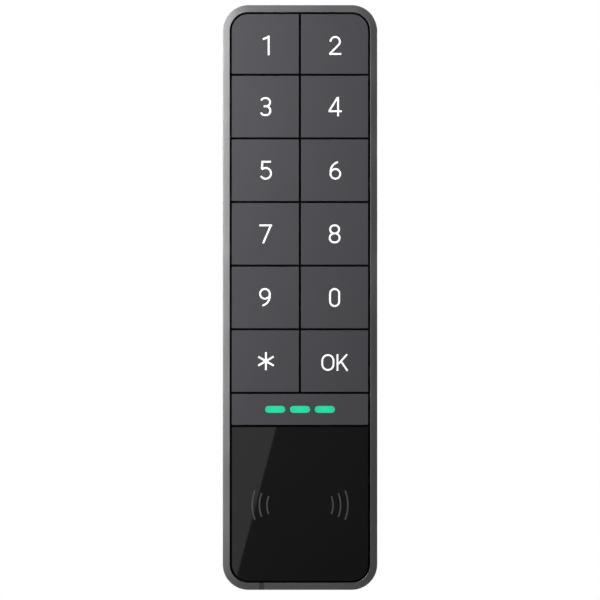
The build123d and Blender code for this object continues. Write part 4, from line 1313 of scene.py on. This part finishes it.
@dataclass
class Pen:
    """Draws flat strokes by pulling an edge along runs and spinning it round bends."""

    low: float
    high: float
    step: float = 9.0

    def draw(self, name: str, mark: Mark, x: float, up: float) -> Piece:
        """Draws a mark as one thin closed solid.

        Args:
            name: The new piece's name.
            mark: The mark to draw.
            x: The middle of the mark's place, in metres.
            up: The same, up the wall.

        Returns:
            The mark, lying on its back.
        """
        solids = [self.stroke(stroke, mark, x, up) for stroke in mark.strokes]
        piece = solids[0]
        piece.name = piece.data.name = name
        for other in solids[1:]:
            combine(piece, other, Combine.ADD)
        return piece

    def stroke(self, stroke: Stroke, mark: Mark, x: float, up: float) -> Piece:
        """Draws one stroke and gives it its thickness.

        Args:
            stroke: The stroke to draw.
            mark: The mark that it belongs to.
            x: The middle of the mark's place, in metres.
            up: The same, up the wall.

        Returns:
            The stroke, lying on its back.
        """
        at_x = x + (mark.x + stroke.x) * MM
        at_up = up + (mark.up + stroke.up) * MM
        heading = math.radians(stroke.heading)
        piece = self.nib(mark.width * MM, at_x, at_up, heading)
        with editing(piece):
            pick_all(Pick.EDGE)
            for move in stroke.moves:
                if isinstance(move, Run):
                    step_x = move.length * MM * math.cos(heading)
                    step_up = move.length * MM * math.sin(heading)
                    pull(step_x, step_up)
                    at_x, at_up = at_x + step_x, at_up + step_up
                else:
                    turn = math.radians(move.turn)
                    side = math.copysign(move.radius * MM, turn)
                    mid_x, mid_up = at_x - side * math.sin(heading), at_up + side * math.cos(heading)
                    steps = max(3, round(abs(move.turn) / self.step))
                    middle = (mid_x, mid_up, self.low)
                    bpy.ops.mesh.spin(steps=steps, angle=-turn, center=middle, axis=(0, 0, 1))
                    heading += turn
                    at_x, at_up = mid_x + side * math.sin(heading), mid_up - side * math.cos(heading)
            merge_and_face_out()
            pick_all()
            pull(z=self.high - self.low)
            merge_and_face_out()
        return piece

    def nib(self, width: float, x: float, up: float, heading: float) -> Piece:
        """Returns a single edge as wide as the stroke, across its heading at its start."""
        deselect_all()
        bpy.ops.mesh.primitive_plane_add(size=width)
        piece = bpy.context.object
        with editing(piece):
            pick(piece, Pick.CORNER, lambda vert: vert.co.x > 0.0)
            bpy.ops.mesh.delete(type="VERT")
            pick_all(Pick.CORNER)
            bpy.ops.transform.translate(value=(width / 2, 0.0, 0.0))
        piece.location = (x, up, self.low)
        piece.rotation_euler = (0.0, 0.0, heading)
        take(piece)
        bpy.ops.object.transform_apply(location=True, rotation=True, scale=False)
        return piece


@dataclass
class Legends:
    """The white legends of the keys, printed a hair proud of each face."""

    proud: float = 0.02 * MM
    sunk: float = 0.03 * MM

    def build(self) -> None:
        """Draws each key's legend and ties it to its key."""
        for label, mark in LEGENDS.items():
            room = Extent.of(f"key_{label}")
            pen = Pen(room.front - self.sunk, room.front + self.proud)
            piece = pen.draw(f"legend_{label}", mark, room.mid_x, room.mid_up)
            stand_up(piece)
            settle(piece)
            hand_over(piece, f"key_{label}", LEGEND_PRINT.make())


# ---------------------------------------------------------------- status bar and card window


@dataclass
class StatusBar:
    """Fixed bar with three long openings, and the lit pipes that stand in them on one shelf."""

    edge: float = 0.08 * MM
    soft_corner: float = 0.2 * MM
    pill_length: float = 6.6 * MM
    pill_height: float = 2.2 * MM
    pill_pitch: float = 8.2 * MM
    pill_count: int = 3
    pill_gap: float = 0.06 * MM
    shelf_margin: float = 1.6 * MM
    shelf_thickness: float = 1.5 * MM
    shelf_drop: float = 0.05 * MM
    shelf_corner: float = 0.8 * MM
    pipe_edge: float = 0.12 * MM
    room: Extent = field(default_factory=lambda: Extent.of("status_bar"))
    pipe_room: Extent = field(default_factory=lambda: Extent.of("status_light_guide"))

    def places(self) -> list[float]:
        """Returns the middle of each pipe in x."""
        return [self.pill_pitch * (index - (self.pill_count - 1) / 2) for index in range(self.pill_count)]

    def pill(self, name: str, x: float, spare: float, low: float, high: float) -> Piece:
        """Returns a solid with full-round ends that is larger all round by a spare amount."""
        height = self.pill_height + 2 * spare
        area = Extent.round_point(x, self.room.mid_up, self.pill_length + 2 * spare, height)
        return lay_plate(name, area, low, high, all_round(height / 2 * 0.998))

    def build(self) -> None:
        """Makes the bar with its openings and the lit pipes."""
        room = self.room
        bar = lay_plate("status_bar_cap", room, room.rear, room.front, all_round(self.soft_corner))
        past = 1.0 * MM
        for x in self.places():
            tool = self.pill("opening_tool", x, self.pill_gap, room.rear - past, room.front + past)
            combine(bar, tool, Combine.CUT)
        soften_rim(bar, room.front, self.edge)
        stand_up(bar)
        settle(bar)
        hand_over(bar, "reader", KEY_SKIN.make(), ("status_bar",))
        lights = self.pipes()
        hand_over(lights, "reader", STATUS_LIGHT.make(), ("status_light_guide",))

    def pipes(self) -> Piece:
        """Returns the three pipes on their shelf, upright."""
        area = self.pipe_room
        shelf_high = self.room.rear - self.shelf_drop
        shelf_w = self.pill_length + self.pill_pitch * (self.pill_count - 1) + 2 * self.shelf_margin
        shelf_area = Extent.round_point(0.0, area.mid_up, shelf_w, self.pill_height + 2 * self.shelf_margin)
        low = shelf_high - self.shelf_thickness
        piece = lay_plate("status_lights", shelf_area, low, shelf_high, all_round(self.shelf_corner))
        for x in self.places():
            pipe = self.pill("pipe", x, 0.0, area.rear, area.front)
            soften_rim(pipe, area.front, self.pipe_edge)
            combine(piece, pipe, Combine.ADD)
        stand_up(piece)
        settle(piece)
        return piece


@dataclass
class CardWindow:
    """Gloss black window with two round bottom corners and two groups of wave marks on it."""

    edge: float = 0.08 * MM
    soft_corner: float = 0.2 * MM
    face_corner: float = 5.45 * MM
    mark_radii: tuple[float, ...] = (12.8, 10.4, 7.9)
    mark_spread: float = 22.0
    mark_width: float = 0.5
    mark_middle: float = 3.0
    mark_up: float = -68.5 * MM
    proud: float = 0.015 * MM
    sunk: float = 0.03 * MM
    room: Extent = field(default_factory=lambda: Extent.of("reader_window"))

    def build(self) -> None:
        """Makes the window and draws the waves on it."""
        room = self.room
        radii = {
            Corner.TOP_LEFT: self.soft_corner,
            Corner.TOP_RIGHT: self.soft_corner,
            Corner.BOTTOM_LEFT: self.face_corner,
            Corner.BOTTOM_RIGHT: self.face_corner,
        }
        window = lay_plate("card_window", room, room.rear, room.front, radii)
        soften_rim(window, room.front, self.edge)
        stand_up(window)
        settle(window)
        hand_over(window, "reader", WINDOW_PLASTIC.make(), ("reader_window",))
        for side, name in ((-1, "left"), (1, "right")):
            self.waves(side, name)

    def waves(self, side: int, name: str) -> None:
        """Draws three arcs that spread to one side.

        Args:
            side: -1 for the left group and 1 for the right one.
            name: The word for that side in the piece's name.
        """
        middle = 180.0 if side < 0 else 0.0
        start = math.radians(middle - self.mark_spread)
        strokes = tuple(
            Stroke(
                side * self.mark_middle + radius * math.cos(start),
                radius * math.sin(start),
                math.degrees(start) + 90.0,
                (Bend(radius, 2 * self.mark_spread),),
            )
            for radius in self.mark_radii
        )
        pen = Pen(self.room.front - self.sunk, self.room.front + self.proud, step=3.0)
        piece = pen.draw(f"wave_marks_{name}", Mark(strokes, self.mark_width), 0.0, self.mark_up)
        stand_up(piece)
        settle(piece)
        hand_over(piece, "reader", MARK_PRINT.make())


# ---------------------------------------------------------------- pieces that keep their CAD shape


@dataclass
class InnerWorks:
    """The pieces behind the face and at the wall, which keep their shape and get a finish."""

    finishes: tuple[tuple[Finish, tuple[str, ...]], ...] = FINISHED_NODES

    def build(self) -> None:
        """Gives each piece its finish."""
        for finish, nodes in self.finishes:
            for node in nodes:
                self.dress(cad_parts[node], finish)

    def dress(self, piece: Piece, finish: Finish) -> None:
        """Puts a finish in every material place of one piece."""
        material = finish.make()
        if not piece.material_slots:
            piece.data.materials.append(material)
        for place in piece.material_slots:
            place.material = material
        LOG.info("%s: dressed in %s", piece.name, finish.name)


# ---------------------------------------------------------------- studio


@dataclass(frozen=True)
class Lamp:
    """A soft rectangular lamp that the camera doesn't see."""

    name: str
    place: Point
    aim: Point
    width: float
    height: float
    radiance: float
    roll: float = 0.0

    def light(self) -> None:
        """Hangs the lamp and points it."""
        data = bpy.data.lights.new(self.name, "AREA")
        data.shape = "RECTANGLE"
        data.size, data.size_y = self.width, self.height
        data.energy = self.radiance * math.pi * self.width * self.height
        lamp = bpy.data.objects.new(self.name, data)
        bpy.context.collection.objects.link(lamp)
        lamp.location = self.place
        direction = Vector(self.aim) - Vector(self.place)
        lamp.rotation_euler = direction.to_track_quat("-Z", "Y").to_euler("XYZ")
        lamp.rotation_euler.rotate_axis("Z", self.roll)
        lamp.visible_camera = False


LAMPS = (
    Lamp("left_softbox", (-0.151, -0.195, 0.100), (0.0, -0.02, 0.02), 0.10, 0.28, 7.2),
    Lamp("low_left", (-0.20, -0.16, -0.07), (0.0, -0.02, -0.06), 0.08, 0.14, 1.4),
    Lamp("right_rear", (0.8, 0.25, 0.35), (0.0, 0.0, 0.0), 0.5, 0.5, 5.0),
    Lamp("left_rear", (-0.6, 0.7, 0.35), (0.0, 0.0, 0.0), 0.5, 0.5, 3.0),
    Lamp("overhead", (0.0, 0.25, 0.9), (0.0, 0.0, 0.0), 0.7, 0.7, 1.0),
)


@dataclass
class Studio:
    """Camera square to the front, soft lamps, a white surround and a pale round floor."""

    view_width: float = 0.198
    sensor: float = 36.0
    distance: float = 3.0
    drop: float = 0.83 * MM
    ambient: float = 0.03
    floor_radius: float = 0.6
    floor_level: float = -0.45
    floor_thickness: float = 0.02
    floor_edge: float = 0.004
    card_distance: float = 0.6
    card_width: float = 0.06
    card_height: float = 0.12
    card_edge: tuple[float, float] = (-0.0173, -0.081)
    card_slope: float = math.radians(14.8)
    card_radiance: float = 0.54

    def build(self) -> None:
        """Sets up the view, the light and the floor."""
        self.camera()
        self.surround()
        for lamp in LAMPS:
            lamp.light()
        self.card()
        self.floor()
        bpy.context.scene.view_settings.view_transform = "Standard"
        LOG.info("studio: %d lamps and a card", len(LAMPS))

    def camera(self) -> None:
        """Puts the camera square to the front, a little below the middle."""
        data = bpy.data.cameras.new("front_camera")
        data.sensor_width = self.sensor
        data.lens = self.sensor * self.distance / self.view_width
        data.clip_end = 20.0
        camera = bpy.data.objects.new("front_camera", data)
        bpy.context.collection.objects.link(camera)
        low, _ = CAD_BOX
        camera.location = (0.0, low.y - self.distance, -self.drop)
        camera.rotation_euler = (math.pi / 2, 0.0, 0.0)
        bpy.context.scene.camera = camera

    def surround(self) -> None:
        """Makes the surround white to the eye and dim as a light."""
        world = bpy.data.worlds.new("surround")
        bpy.context.scene.world = world
        world.use_nodes = True
        world.node_tree.nodes.clear()
        board = Board(world.node_tree)
        seen = board.place("ShaderNodeLightPath").outputs["Is Camera Ray"]
        dim = (self.ambient, self.ambient, self.ambient, 1.0)
        colour = board.blend(seen, dim, (1.0, 1.0, 1.0, 1.0))
        background = board.place("ShaderNodeBackground", {"Color": colour, "Strength": 1.0})
        board.place("ShaderNodeOutputWorld", {"Surface": background.outputs[0]})

    def card(self) -> None:
        """Hangs the card whose sloping edge shows as the window's diagonal highlight."""
        low, _ = CAD_BOX
        edge_x, edge_z = self.card_edge
        along = Vector((math.sin(self.card_slope), 0.0, math.cos(self.card_slope)))
        across = Vector((-along.z, 0.0, along.x))
        middle = Vector((edge_x, low.y - self.card_distance, edge_z)) + across * self.card_width / 2
        aim = (middle.x, 0.0, middle.z)
        Lamp(
            "window_card", tuple(middle), aim, self.card_width, self.card_height, self.card_radiance,
            -self.card_slope,
        ).light()

    def floor(self) -> None:
        """Lays a pale round floor with a rolled rim well below the reader."""
        deselect_all()
        bpy.ops.mesh.primitive_cylinder_add(
            vertices=128,
            radius=self.floor_radius,
            depth=self.floor_thickness,
            location=(0.0, 0.0, self.floor_level - self.floor_thickness / 2),
        )
        floor = bpy.context.object
        floor.name = floor.data.name = "studio_floor"
        bpy.ops.object.transform_apply(location=True, rotation=False, scale=False)
        soften_rim(floor, self.floor_level, self.floor_edge)
        settle(floor)
        paint = MouldedPlastic("floor_paint", (0.78, 0.78, 0.77), 0.7, grain_count=300.0, grain_strength=0.1,
                               tone_swing=0.01, worn=0.0, dusty=0.0)
        floor.data.materials.append(paint.make())


# ---------------------------------------------------------------- assembly


def main() -> None:
    """Builds every sub-assembly in order and reports each."""
    logging.basicConfig(level=logging.INFO, format="%(name)s %(message)s")
    studio = Studio()
    for assembly in (studio, MetalFrame(), Keypad(), Legends(), StatusBar(), CardWindow(), InnerWorks()):
        assembly.build()
        LOG.info("%s is done", type(assembly).__name__)


if __name__ == "__main__":
    main()
